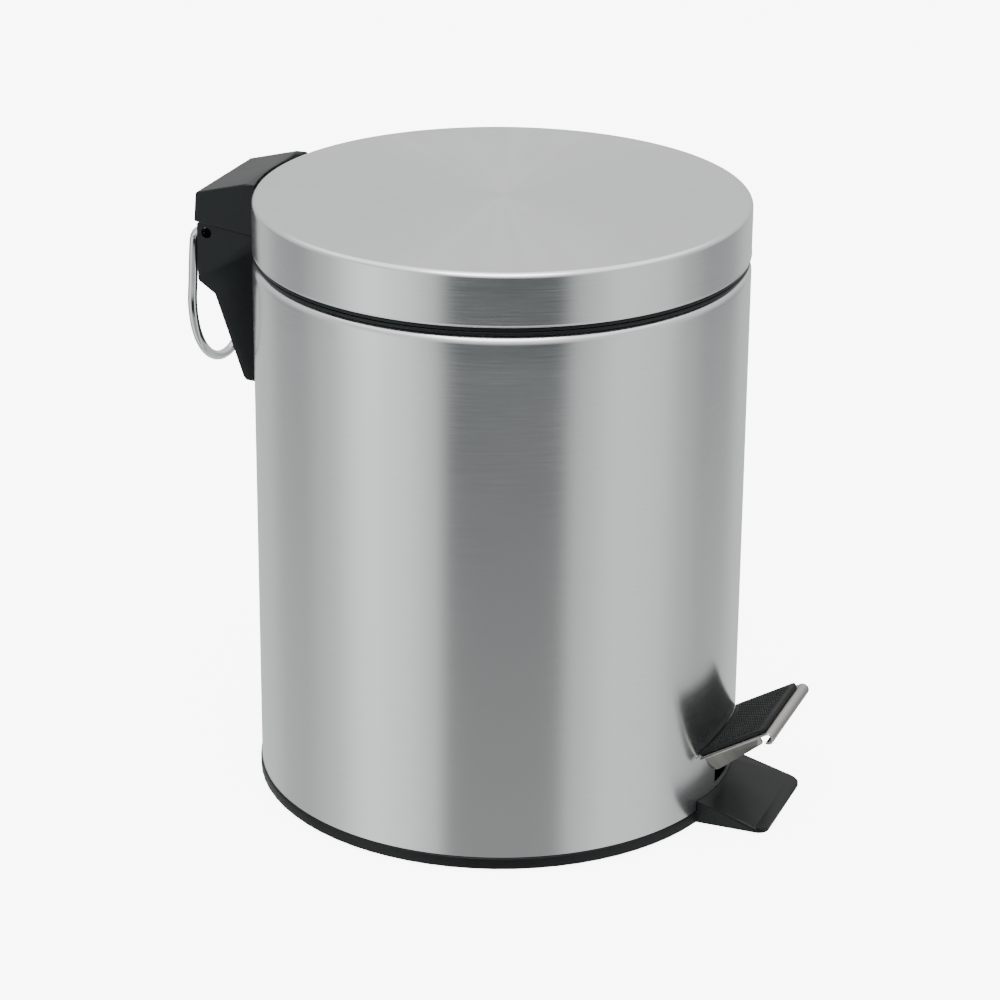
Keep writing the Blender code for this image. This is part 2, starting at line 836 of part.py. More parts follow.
def make_hinge_bracket():
    outline = bracket_outline(0, BODY_R * 0.93, BRACKET_TOP)
    bracket = across("hinge_bracket", outline, -BRACKET_HALF, BRACKET_HALF, black_plastic)
    soften(bracket, 0.0007)
    inner = bracket_outline(BRACKET_WALL, BODY_R * 0.9, BRACKET_TOP + 0.01)
    half = BRACKET_HALF - BRACKET_WALL
    cavity = across("cut_bracket_cavity", inner, -half, half)
    front = bar(
        "cut_bracket_front",
        BODY_R + BRACKET_FRONT_WALL,
        (0, 0, BRACKET_LOW - 0.01),
        (0, 0, BRACKET_TOP + 0.02),
        None,
        STEPS,
    )
    cut(cavity, front)
    cut(bracket, cavity)
    join(bracket, *hinge_ears())
    hug = bar(
        "cut_bracket_body",
        BODY_R + GAP,
        (0, 0, BRACKET_LOW - 0.01),
        (0, 0, BRACKET_RELIEF_Z),
        None,
        STEPS,
    )
    relief = bar(
        "cut_bracket_relief",
        BODY_R + BRACKET_RELIEF,
        (0, 0, BRACKET_RELIEF_Z - 0.0001),
        (0, 0, BRACKET_TOP + 0.02),
        None,
        STEPS,
    )
    window = box(
        "cut_bracket_window",
        (-WINDOW_HALF, BODY_R * 0.9, ROD_JOG_LOW + 0.002),
        (WINDOW_HALF, BODY_R + BRACKET_FRONT_WALL + 0.001, BRACKET_TOP + 0.01),
    )
    cut(bracket, hug, relief, window, *bracket_screw_holes(), *wire_room())
    shade(bracket)


def hinge_ears():
    """Two ears that carry the pin. They stay in front of the cover's back wall as it swings."""
    root_y = BRACKET_BACK - BRACKET_WALL / 2
    root_top = BRACKET_TOP - BRACKET_WALL / 2
    neck = math.acos(EAR_NECK / EAR_R)
    outline = arc((PIN_Y, PIN_Z), EAR_R, -neck, math.pi * 1.06)
    outline.append((PIN_Y - EAR_R * 1.25, BRACKET_TOP - 0.0060))
    outline.append((root_y, BRACKET_TOP - 0.0200))
    outline.append((root_y, root_top))
    outline.append((PIN_Y + EAR_NECK, root_top))
    found = []
    for side in (-1, 1):
        low, high = sorted((side * EAR_IN, side * EAR_OUT))
        ear = across("cut_ear_" + str(side), outline, low, high)
        hole = cross_bar(
            "cut_ear_hole_" + str(side), PIN_R + RUN, (PIN_Y, PIN_Z), low - 0.001, high + 0.001
        )
        cut(ear, hole)
        found.append(ear)
    return found


def wire_room():
    """The holes for the handle's ends, and the notches its two legs pass through."""
    found = []
    for side in (-1, 1):
        edge = BRACKET_HALF - BRACKET_WALL
        low, high = sorted((side * (edge - 0.001), side * (BRACKET_HALF + 0.001)))
        found.append(cross_bar("cut_wire_hole_" + str(side), WIRE_R + RUN, WIRE_PIVOT, low, high))
        inner = WIRE_TOP_X - WIRE_R - RUN
        low, high = sorted((side * inner, side * edge))
        floor = WIRE_PIVOT[1] - WIRE_R - NOTCH_DROP
        start = (low, BRACKET_BACK - 2 * BRACKET_WALL, floor)
        found.append(
            box("cut_wire_notch_" + str(side), start, (high, BRACKET_BACK + 0.001, BRACKET_TOP + 0.01))
        )
    return found


# Push rod


def make_push_rod():
    foot = lever_top_at(ROD_LOW_Y) + ROD_FOOT_GAP
    path = rounded_path(
        [
            (ROD_LOW_Y, foot),
            (ROD_LOW_Y, ROD_JOG_LOW),
            (ROD_HIGH_Y, ROD_JOG_HIGH),
            (ROD_HIGH_Y, rod_top()),
        ],
        0.006,
    )
    rod = wire("push_rod", [(0, y, z) for y, z in path], ROD_R, plain_steel)
    shade(rod)


def rounded_path(points, radius):
    """An open path whose inner corners are rounded."""
    inner = [(y, z, radius) for y, z in points[1:-1]]
    corners = [(*points[0], 0), *inner, (*points[-1], 0)]
    return rounded(corners)


def make_rod_guide():
    outer = math.sqrt((BODY_R - BODY_SHEET) ** 2 - GUIDE_HALF**2) - GAP
    inner = ROD_LOW_Y - 2 * ROD_R
    guide = box(
        "rod_guide",
        (-GUIDE_HALF, inner, GUIDE_Z),
        (GUIDE_HALF, outer, GUIDE_Z + GUIDE_HEIGHT),
        black_plastic,
    )
    soften(guide, 0.0006)
    start = (0, ROD_LOW_Y, GUIDE_Z - 0.001)
    hole = bar("cut_guide", ROD_R + RUN, start, (0, ROD_LOW_Y, GUIDE_Z + GUIDE_HEIGHT + 0.001))
    cut(guide, hole)
    shade(guide)


# Pedal


def make_pedal_plate():
    length = pedal_length()
    inner = ROLL_R - PEDAL_SHEET
    centre = pedal_point(length, ROLL_R)
    rise = Vector(pedal_point(length, 0)) - Vector(centre)
    start = math.atan2(rise.y, rise.x)
    sweep = math.radians(235)
    outline = [pedal_point(0, 0)]
    outline += arc(centre, ROLL_R, start, start + sweep)
    outline += arc(centre, inner, start + sweep, start)
    outline.append(pedal_point(0, PEDAL_SHEET))
    plate = across("pedal_plate", outline, -PEDAL_HALF, PEDAL_HALF, brushed_steel)
    join(plate, *pedal_flanges())
    cut(plate, pedal_back("cut_plate_back"))
    shade(plate)


def pedal_flanges():
    found = []
    for side in (-1, 1):
        corners = [
            (FLANGE_START, PEDAL_SHEET / 2, 0),
            (FLANGE_START, FLANGE_DEEP, FLANGE_CORNER),
            (FLANGE_END, FLANGE_SHALLOW, 0.0008),
            (FLANGE_END, PEDAL_SHEET / 2, 0),
        ]
        outline = [pedal_point(along, down) for along, down in rounded(corners)]
        low, high = sorted((side * (PEDAL_HALF - PEDAL_SHEET), side * PEDAL_HALF))
        found.append(across("cut_flange_" + str(side), outline, low, high))
    return found


def pedal_back(name):
    """The body's face, moved out by a clearance, which the pedal's back edge follows."""
    return bar(name, BODY_R + PEDAL_CLEAR, (0, 0, 0.01), (0, 0, 0.07), None, STEPS)


def make_tread_pad():
    length = pedal_length()
    base = -GAP
    outline = [
        pedal_point(-0.002, base),
        pedal_point(length - 0.0006, base),
        pedal_point(length - 0.0006, base - TREAD_HEIGHT),
        pedal_point(-0.002, base - TREAD_HEIGHT),
    ]
    pad = across("tread_pad", outline, -TREAD_HALF, TREAD_HALF, black_rubber)
    round_tread(pad)
    cut(pad, pedal_back("cut_tread_back"))
    shade(pad)


def round_tread(pad):
    """Rounds the pad's two outer corners in plan, and all its top edges a little."""
    work = bmesh.new()
    work.from_mesh(pad.data)
    front = pedal_point(pedal_length() - 0.0006, 0)[0] + 0.0016
    upright_edges = [
        edge
        for edge in work.edges
        if all(v.co.y < front for v in edge.verts)
        and abs(edge.verts[0].co.x - edge.verts[1].co.x) < 1e-6
        and edge.calc_length() < TREAD_HEIGHT * 1.01
    ]
    bmesh.ops.bevel(
        work,
        geom=upright_edges,
        offset=TREAD_CORNER,
        segments=4,
        profile=0.5,
        affect="EDGES",
        offset_type="OFFSET",
    )
    work.to_mesh(pad.data)
    work.free()


def lever_path():
    """(y, z) along the middle of the lever's strip, from its tail to under the pedal plate."""
    under = PEDAL_SHEET + GAP + LEVER_SHEET / 2
    first = pedal_point(0.0075, under)
    last = pedal_point(LEVER_REACH, under)
    return rounded_path([LEVER_TAIL, LEVER_KNEE, first, last], LEVER_BEND)


def lever_top_at(y):
    """Height of the lever's straight stretch at y, on its top face."""
    (y0, z0), (y1, z1) = LEVER_TAIL, LEVER_KNEE
    slope = (z1 - z0) / (y1 - y0)
    return z0 + (y - y0) * slope + LEVER_SHEET / 2 * math.sqrt(1 + slope**2)


def strip_outline(path, thickness):
    """A path given a thickness, with its corners mitred."""
    points = [Vector(p) for p in path]
    above = []
    below = []
    for i, here in enumerate(points):
        before = (here - points[i - 1]).normalized() if i else None
        after = (points[i + 1] - here).normalized() if i + 1 < len(points) else None
        way = ((before or after) + (after or before)).normalized()
        square = Vector((-way.y, way.x))
        reach = thickness / 2 / max(0.5, way.dot(after or before))
        above.append(tuple(here + square * reach))
        below.append(tuple(here - square * reach))
    return above + below[::-1]


def make_pedal_lever():
    outline = strip_outline(lever_path(), LEVER_SHEET)
    lever = across("pedal_lever", outline, -LEVER_HALF, LEVER_HALF, plain_steel)
    for side in (-1, 1):
        low, high = sorted((side * LEVER_HALF, side * (LEVER_HALF - LEVER_SHEET)))
        disc = cross_bar(
            "cut_lever_disc_" + str(side), LEVER_EAR_R, (AXLE_Y, AXLE_Z), low, high
        )
        top = lever_top_at(AXLE_Y) - LEVER_SHEET / 2
        neck = box(
            "cut_lever_neck_" + str(side),
            (low, AXLE_Y - LEVER_EAR_R * 0.95, AXLE_Z),
            (high, AXLE_Y + LEVER_EAR_R * 0.95, top),
        )
        join(lever, neck, disc)
    bore = cross_bar(
        "cut_lever_bore", AXLE_R + RUN, (AXLE_Y, AXLE_Z), -2 * LEVER_HALF, 2 * LEVER_HALF
    )
    cut(lever, bore)
    shade(lever)


def make_lever_axle():
    end = POST_OUT + GAP + CLIP_THICK + 0.0008
    shade(cross_bar("lever_axle", AXLE_R, (AXLE_Y, AXLE_Z), -end, end, plain_steel))
    for side, word in ((-1, "left"), (1, "right")):
        low, high = sorted((side * (POST_OUT + GAP), side * (POST_OUT + GAP + CLIP_THICK)))
        clip = cross_bar("axle_clip_" + word, CLIP_R, (AXLE_Y, AXLE_Z), low, high, plain_steel)
        hole = cross_bar(
            "cut_clip_" + word, AXLE_R + RUN, (AXLE_Y, AXLE_Z), low - 0.001, high + 0.001
        )
        cut(clip, hole)
        shade(clip)


# Bucket


def flange_top():
    return RIM_TOP + GAP + BUCKET_FLANGE


def make_inner_bucket():
    under = RIM_TOP + GAP
    top = flange_top()
    inner_r = BUCKET_TOP_R - BUCKET_WALL
    foot_in = BUCKET_FOOT_R - BUCKET_WALL
    floor = BUCKET_BOTTOM + BUCKET_WALL
    corner = 0.004
    profile = [(0, floor), (foot_in - corner, floor)]
    profile += arc((foot_in - corner, floor + corner), corner, -math.pi / 2, 0)
    profile += [
        (inner_r, top),
        (BUCKET_FLANGE_R, top),
        (BUCKET_FLANGE_R, under),
        (BUCKET_TOP_R, under),
    ]
    outer = corner + BUCKET_WALL
    foot_centre = (BUCKET_FOOT_R - outer, BUCKET_BOTTOM + outer)
    profile += arc(foot_centre, outer, 0, -math.pi / 2)
    profile.append((0, BUCKET_BOTTOM))
    bucket = turned("inner_bucket", profile, black_plastic)
    for side in (-1, 1):
        low, high = sorted((side * LUG_IN, side * LUG_OUT))
        outline = rounded(
            [
                (-LUG_HALF, top - BUCKET_FLANGE / 2, 0),
                (LUG_HALF, top - BUCKET_FLANGE / 2, 0),
                (LUG_HALF, top + LUG_HOLE_Z + 0.0035, 0.003),
                (-LUG_HALF, top + LUG_HOLE_Z + 0.0035, 0.003),
            ]
        )
        lug = across("cut_lug_" + str(side), outline, low, high)
        centre = (0, top + LUG_HOLE_Z)
        hole = cross_bar(
            "cut_lug_hole_" + str(side), BAIL_R + RUN, centre, low - 0.001, high + 0.001
        )
        cut(lug, hole)
        join(bucket, lug)
    shade(bucket)


def make_bucket_bail():
    """A half ring that lies on the flange at the front, with its ends through the lugs."""
    pivot_z = flange_top() + LUG_HOLE_Z
    rest_z = flange_top() + GAP + BAIL_R
    end_x = LUG_IN - 0.0010
    count = 28
    loop = []
    for i in range(count + 1):
        turn = math.pi * i / count
        drop = math.sin(turn)
        loop.append(
            (
                BAIL_LOOP_R * math.cos(turn),
                -BAIL_LOOP_R * drop,
                pivot_z + (rest_z - pivot_z) * drop,
            )
        )
    path = [(end_x, 0, pivot_z), *loop, (-end_x, 0, pivot_z)]
    shade(wire("bucket_bail", path, BAIL_R, plain_steel))


# Carrying handle


def make_carry_handle():
    """A wire loop: ends in the side walls, legs out through the back, and a round bottom."""
    pivot_y, pivot_z = WIRE_PIVOT
    tip_x = BRACKET_HALF - GAP
    back = BRACKET_BACK + GAP + WIRE_R
    loop_z = WIRE_LOW_Z + WIRE_WIDE_X
    lean = (back + 0.0001 - WIRE_LOW_Y) / (BRACKET_STEP - WIRE_LOW_Z)
    ends = [
        (tip_x, pivot_y, pivot_z),
        (WIRE_TOP_X + 0.0012, pivot_y, pivot_z),
        (WIRE_TOP_X + 0.0002, pivot_y + 0.0009, pivot_z),
        (WIRE_TOP_X, pivot_y + 0.0025, pivot_z),
    ]
    legs = smooth_path(
        [
            (WIRE_TOP_X, pivot_y + 0.0042, pivot_z - 0.0001),
            (WIRE_TOP_X + 0.0001, back + 0.0005, pivot_z - 0.0025),
            (WIRE_TOP_X + 0.0007, back + 0.0009, pivot_z - 0.0075),
            (WIRE_WIDE_X - 0.0018, WIRE_LOW_Y + lean * 0.0385, WIRE_LOW_Z + 0.0385),
            (WIRE_WIDE_X, WIRE_LOW_Y + lean * 0.0300, WIRE_LOW_Z + 0.0300),
        ],
        4,
    )
    bottom = []
    for y, z in arc((0, loop_z), WIRE_WIDE_X, 0, -math.pi / 2)[1:]:
        bottom.append((y, WIRE_LOW_Y + lean * (z - WIRE_LOW_Z), z))
    half = [*ends, *legs, *bottom]
    other = [(-x, y, z) for x, y, z in half[-2::-1]]
    shade(wire("carry_handle", half + other, WIRE_R, bright_wire))


def main():
    clear_scene()
    make_body_shell()
    make_base_tray()
    make_foot_pads()
    make_rim_ring()
    make_lid_shell()
    make_lid_liner()
    make_hinge_cover()
    make_lid_crank()
    make_screws()
    make_hinge_pin()
    make_hinge_bracket()
    make_push_rod()
    make_rod_guide()
    make_pedal_plate()
    make_tread_pad()
    make_pedal_lever()
    make_lever_axle()
    make_inner_bucket()
    make_bucket_bail()
    make_carry_handle()


main()
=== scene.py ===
"""A small round pedal bin in brushed steel and black plastic: its fine surfaces, finishes and studio.

Metres, +Z up. The pedal is at -Y and the hinge at +Y. Profiles are (radius, z) or (y, z) arrays.
"""

import json
import math

import bmesh
import bpy
import numpy as np
from mathutils import Matrix, Vector


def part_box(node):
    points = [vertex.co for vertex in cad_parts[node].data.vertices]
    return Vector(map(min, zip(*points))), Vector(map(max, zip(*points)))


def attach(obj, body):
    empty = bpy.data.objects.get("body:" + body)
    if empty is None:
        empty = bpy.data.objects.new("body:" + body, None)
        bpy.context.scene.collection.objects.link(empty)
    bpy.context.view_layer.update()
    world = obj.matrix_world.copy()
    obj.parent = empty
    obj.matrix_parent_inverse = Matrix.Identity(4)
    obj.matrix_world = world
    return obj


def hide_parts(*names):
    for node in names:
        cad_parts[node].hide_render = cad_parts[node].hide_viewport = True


bl_info = {
    "name": "Pedal Bin",
    "version": (1, 0, 0),
    "blender": (4, 5, 0),
    "location": "3D View > Sidebar > Pedal Bin",
    "description": "Fine surfaces and finishes of a small round pedal bin",
    "category": "Add Mesh",
}

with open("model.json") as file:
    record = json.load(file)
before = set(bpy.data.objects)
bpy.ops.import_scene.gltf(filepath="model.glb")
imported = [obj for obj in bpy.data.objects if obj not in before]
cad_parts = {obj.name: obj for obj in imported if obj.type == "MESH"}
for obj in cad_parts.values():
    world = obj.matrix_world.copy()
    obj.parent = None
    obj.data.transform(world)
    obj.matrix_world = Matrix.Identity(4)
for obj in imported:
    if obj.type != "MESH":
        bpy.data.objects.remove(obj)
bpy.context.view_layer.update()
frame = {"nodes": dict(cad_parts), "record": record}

MERGE = 1e-7  # points nearer than this are one
COPY_MERGE = 2e-6
SHEET = 0.0007
SHOULDER = 0.0040
SHOULDER_FLAT = 0.0015
LID_EDGE = 0.0022
RIM_WALL = 0.0016
LINER_WALL = 0.0015
HEM = 0.00028  # extra thickness of the bead along the lid's lower edge
HEM_RUN = 1.6  # where the bead starts, in bead radii above its middle
LIP_EDGE = 0.00035  # rounding of the two black lips
LINER_CORNER = 0.002
GAP = 0.0003
AROUND = 288
ARC_POINTS = 12
WALL_LEVELS = (0.07, 0.12, 0.16)  # extra rows up the body, so that its faces aren't too long
SEAM_HALF = 0.00022
SLOT_HALF = 0.0105
SLOT_LOW = 0.0124
SLOT_HIGH = 0.0318
REAR_SLOT_HALF = 0.0029
REAR_SLOT = (0.1890, 0.2164)
PLATE_IN = (-0.0985, 0.0300)
PLATE_OUT = (-0.1276, 0.0471)
TREAD_HALF = 0.0252
TREAD_HEIGHT = 0.0022
TREAD_BACK_GAP = 0.0009
TREAD_FRONT_GAP = 0.0006
TREAD_CORNER = 0.0030
TREAD_EDGE = 0.0005
TREAD_GRID = (230, 310)
FLANGE_TOP = 0.0013  # depth under the plate where its bent sides start
FLANGE_FRONT = -0.1246
NUB_PITCH = (0.00155, 0.00250)
NUB_SIZE = (0.00044, 0.00082)
NUB_HEIGHT = 0.00060
NUB_BORDER = 0.0029
NUB_FADE = 0.0002
NUB_SQUARE = 3  # power of the rounded box that a nub is
NUB_SLOPE = (0.72, 1.12)
WIRE_PIVOT = (0.1221, 0.2327)
WIRE_TIP_X = 0.0236
WIRE_TOP_X = 0.0213
WIRE_WIDE_X = 0.0276
WIRE_LOW = (0.1263, 0.1713)
WIRE_BACK = 0.1287
WIRE_END = 0.12  # rounding of a wire's cut end, in wire radii
BAIL_R = 0.0015
BAIL_LOOP = 0.0932
BAIL_END_X = 0.0882
BAIL_PIVOT_Z = 0.2385
BAIL_REST_Z = 0.2364


# Settings


class BinSizes(bpy.types.PropertyGroup):
    wire: bpy.props.FloatProperty(
        name="Handle wire radius",
        description="Half the thickness of the carrying handle's wire",
        default=0.0020,
        unit="LENGTH",
    )
    steps: bpy.props.IntProperty(
        name="Steps around", description="Facets in one turn of the round pieces", default=AROUND
    )


class BinFinishes(bpy.types.PropertyGroup):
    steel: bpy.props.FloatVectorProperty(
        name="Steel", description="Brushed steel colour", default=(0.80, 0.81, 0.81), subtype="COLOR"
    )
    warm_steel: bpy.props.FloatVectorProperty(
        name="Pedal steel", description="Pedal colour", default=(0.46, 0.45, 0.425), subtype="COLOR"
    )
    plastic: bpy.props.FloatVectorProperty(
        name="Plastic", description="Black trim", default=(0.0012, 0.0021, 0.0024), subtype="COLOR"
    )
    rubber: bpy.props.FloatVectorProperty(
        name="Rubber", description="Tread pad", default=(0.0014, 0.0022, 0.0025), subtype="COLOR"
    )
    chrome: bpy.props.FloatVectorProperty(
        name="Chrome", description="Bright wire", default=(0.82, 0.83, 0.84), subtype="COLOR"
    )


class BinStage(bpy.types.PropertyGroup):
    sky: bpy.props.FloatProperty(
        name="Sky", description="Strength of the surrounding light", default=1.0
    )
    key: bpy.props.FloatProperty(
        name="Key", description="Power of the large soft light above", default=22.0, unit="POWER"
    )


# Meshes


def mesh_from(name, points, quads, ngons=()):
    """A mesh from an array of points and an array of four-sided faces, and any larger faces."""
    mesh = bpy.data.meshes.new(name)
    faces = quads.tolist() + [list(face) for face in ngons]
    mesh.from_pydata(points.tolist(), [], faces)
    work = bmesh.new()
    work.from_mesh(mesh)
    bmesh.ops.remove_doubles(work, verts=work.verts, dist=MERGE)
    bmesh.ops.dissolve_degenerate(work, edges=work.edges, dist=MERGE / 10)
    bmesh.ops.recalc_face_normals(work, faces=work.faces)
    work.to_mesh(mesh)
    work.free()
    return mesh


def grid_quads(rows, columns, wrap_rows=False, wrap_columns=False):
    """Corner numbers of every cell of a rows x columns grid, wrapping round where asked."""
    i = np.arange(rows if wrap_rows else rows - 1)
    j = np.arange(columns if wrap_columns else columns - 1)
    i, j = np.meshgrid(i, j, indexing="ij")
    down = (i + 1) % rows
    across = (j + 1) % columns
    corners = (i * columns + j, down * columns + j, down * columns + across, i * columns + across)
    return np.stack(corners, -1).reshape(-1, 4)


def arc(centre, radius, start, end, count=ARC_POINTS):
    """Points on a circle: centre plus radius times (cos, sin) of evenly spaced angles in degrees."""
    turn = np.radians(np.linspace(start, end, count))
    return np.stack([centre[0] + radius * np.cos(turn), centre[1] + radius * np.sin(turn)], -1)


def spin(name, profile, closed, steps):
    """A (radius, z) profile carried round Z: each point becomes (r cos t, r sin t, z) for t in one turn."""
    profile = np.vstack(profile)
    turn = np.arange(steps) * math.tau / steps
    r = profile[:, :1]
    z = np.broadcast_to(profile[:, 1:], (len(profile), steps))
    points = np.stack([r * np.cos(turn), r * np.sin(turn), z], -1)
    quads = grid_quads(len(profile), steps, closed, True)
    return mesh_from(name, points.reshape(-1, 3), quads)


def tube(name, path, radius, sides=24):
    """A circle carried along a path: path + radius (cos t N + sin t B), closed by points at both ends.

    N is square to the path and nearest to Y, or to Z where the path itself runs along Y. B is square to both.
    """
    path = np.asarray(path)
    way = np.gradient(path, axis=0)
    way /= np.linalg.norm(way, axis=1, keepdims=True)
    lean = np.clip(1 - np.abs(way[:, 1:2]), 0, 1)
    guide = np.array([[0.0, 1.0, 0.0]]) * lean + np.array([[0.0, 0.0, 1.0]]) * (1 - lean)
    normal = guide - (guide * way).sum(1, keepdims=True) * way
    normal /= np.linalg.norm(normal, axis=1, keepdims=True)
    side = np.cross(way, normal)
    turn = np.arange(sides) * math.tau / sides
    ring = normal[:, None] * np.cos(turn)[None, :, None] + side[:, None] * np.sin(turn)[None, :, None]
    soft = radius * WIRE_END
    body = path[:, None] + ring * radius
    caps = []
    for end, sign in ((0, -1), (-1, 1)):
        out = path[end] + sign * way[end] * soft
        flat = out + ring[end] * (radius - soft)
        caps.append(np.stack([flat, np.broadcast_to(out, flat.shape)]))
    rings = np.concatenate([caps[0][::-1], body, caps[1]])
    quads = grid_quads(len(rings), sides, False, True)
    return mesh_from(name, rings.reshape(-1, 3), quads)


def smooth_line(points, count):
    """A curve through the points (Catmull-Rom): cubic blends of each four neighbours, evenly sampled."""
    points = np.asarray(points, float)
    padded = np.vstack([2 * points[0] - points[1], points, 2 * points[-1] - points[-2]])
    t = np.linspace(0, len(points) - 1, count)
    i = np.minimum(t.astype(int), len(points) - 2)
    u = (t - i)[:, None]
    a, b, c, d = (padded[i + k] for k in range(4))
    straight = 2 * b + (c - a) * u
    return 0.5 * (straight + (2 * a - 5 * b + 4 * c - d) * u**2 + (3 * b - 3 * c + d - a) * u**3)


def show(name, mesh, body, finish, nodes, angle=35.0):
    """Puts a mesh in the scene with its finish, riding on a body and standing for its nodes."""
    mesh.shade_smooth()
    mesh.set_sharp_from_angle(angle=math.radians(angle))
    mesh.materials.clear()
    mesh.materials.append(finish)
    obj = bpy.data.objects.new(name, mesh)
    bpy.context.scene.collection.objects.link(obj)
    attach(obj, body)
    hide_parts(*nodes)
    return obj


def body_of(node):
    """The body that the record puts a node in."""
    for body, members in frame["record"]["behaviour"]["bodies"].items():
        if node in members:
            return body
    raise ValueError("no body holds " + node)


def finished_copy(node, finish, angle=35.0):
    """The node's own shape with its triangles merged and its round faces smooth."""
    mesh = frame["nodes"][node].data.copy()
    mesh.name = node + "_fine"
    work = bmesh.new()
    work.from_mesh(mesh)
    bmesh.ops.remove_doubles(work, verts=work.verts, dist=COPY_MERGE)
    bmesh.ops.dissolve_degenerate(work, edges=work.edges, dist=MERGE)
    work.to_mesh(mesh)
    work.free()
    obj = show(node + "_fine", mesh, body_of(node), finish, [node], angle)
    even = obj.modifiers.new("even_faces", "WEIGHTED_NORMAL")
    even.keep_sharp = True
    return obj


# Finishes


class Finish:
    """A material under construction: short calls that add a node and give its output socket."""

    def __init__(self, holder, shader="Principled BSDF"):
        holder.use_nodes = True
        self.material = holder
        self.tree = holder.node_tree
        self.shader = self.tree.nodes[shader]

    def plug(self, socket, value):
        """Links an output to a socket, or sets the socket's own value."""
        if isinstance(value, bpy.types.NodeSocket):
            self.tree.links.new(value, socket)
        else:
            socket.default_value = value

    def set(self, **values):
        """Sets the shader's sockets by name, with _ for each space."""
        for name, value in values.items():
            self.plug(self.shader.inputs[name.replace("_", " ")], value)

    def place(self):
        return self.tree.nodes.new("ShaderNodeTexCoord").outputs["Object"]

    def parts(self, vector):
        node = self.tree.nodes.new("ShaderNodeSeparateXYZ")
        self.plug(node.inputs[0], vector)
        return node.outputs[0], node.outputs[1], node.outputs[2]

    def vector(self, x, y, z):
        node = self.tree.nodes.new("ShaderNodeCombineXYZ")
        for socket, value in zip(node.inputs, (x, y, z)):
            self.plug(socket, value)
        return node.outputs[0]

    def sum(self, operation, a, b=0.0, c=0.0):
        node = self.tree.nodes.new("ShaderNodeMath")
        node.operation = operation
        for socket, value in zip(node.inputs, (a, b, c)):
            self.plug(socket, value)
        return node.outputs[0]

    def cross(self, a, b):
        node = self.tree.nodes.new("ShaderNodeVectorMath")
        node.operation = "CROSS_PRODUCT"
        self.plug(node.inputs[0], a)
        self.plug(node.inputs[1], b)
        return node.outputs[0]

    def noise(self, vector, scale, detail=2.0, rough=0.5):
        node = self.tree.nodes.new("ShaderNodeTexNoise")
        self.plug(node.inputs["Vector"], vector)
        self.plug(node.inputs["Scale"], scale)
        self.plug(node.inputs["Detail"], detail)
        self.plug(node.inputs["Roughness"], rough)
        return node.outputs[0]

    def span(self, value, low, high, start=0.0, end=1.0):
        """low where value is start or less, high where it is end or more, and even between them."""
        node = self.tree.nodes.new("ShaderNodeMapRange")
        for socket, given in zip(node.inputs, (value, start, end, low, high)):
            self.plug(socket, given)
        return node.outputs[0]

    def blend(self, factor, first, second):
        """From the first colour at 0 to the second at 1."""
        node = self.tree.nodes.new("ShaderNodeMix")
        node.data_type = "RGBA"
        self.plug(node.inputs[0], factor)
        self.plug(node.inputs[6], (*first, 1.0))
        self.plug(node.inputs[7], (*second, 1.0))
        return node.outputs[2]

    def bump(self, height, distance, strength=1.0):
        node = self.tree.nodes.new("ShaderNodeBump")
        node.inputs["Strength"].default_value = strength
        node.inputs["Distance"].default_value = distance
        self.plug(node.inputs["Height"], height)
        return node.outputs[0]


def tint(colour, factor):
    """The colour made darker or lighter by a factor."""
    return tuple(min(1.0, c * factor) for c in colour)


def steel_around(name, colour, roughness, seam=False):
    """Sheet brushed round the axis: long fine lines around, so that light stretches up and down."""
    f = Finish(bpy.data.materials.new(name))
    place = f.place()
    x, y, z = f.parts(place)
    turn = f.sum("ARCTAN2", y, x)
    radius = f.sum("SQRT", f.sum("ADD", f.sum("MULTIPLY", x, x), f.sum("MULTIPLY", y, y)))
    along = f.sum("MULTIPLY", turn, 3.0)
    lines = f.noise(f.vector(along, f.sum("MULTIPLY", f.sum("ADD", z, radius), 1500.0), 0.0), 1.0, 4.0, 0.75)
    hairs = f.noise(f.vector(f.sum("MULTIPLY", turn, 9.0), f.sum("MULTIPLY", z, 6200.0), radius), 1.0, 2.0)
    smudge = f.noise(place, 14.0, 3.0, 0.6)
    both = f.sum("ADD", f.sum("MULTIPLY", lines, 0.65), f.sum("MULTIPLY", hairs, 0.35))
    shade = f.span(both, 0.0, 1.0, 0.25, 0.75)
    f.set(Base_Color=f.blend(shade, tint(colour, 0.95), tint(colour, 1.04)))
    grain = f.span(both, roughness - 0.05, roughness + 0.05, 0.2, 0.8)
    f.set(Roughness=f.sum("ADD", grain, f.span(smudge, -0.02, 0.02, 0.3, 0.7)))
    height = both
    if seam:
        near = f.sum("LESS_THAN", f.sum("ABSOLUTE", x), SEAM_HALF)
        back = f.sum("GREATER_THAN", y, 0.0)
        height = f.sum("SUBTRACT", both, f.sum("MULTIPLY", f.sum("MULTIPLY", near, back), 6.0))
    f.set(Normal=f.bump(height, 0.00001, 0.05))
    normal = f.tree.nodes.new("ShaderNodeNewGeometry").outputs["Normal"]
    f.set(Tangent=f.cross(normal, f.cross((0.0, 0.0, 1.0), place)))
    f.set(Metallic=1.0, Anisotropic=0.6)
    return f.material


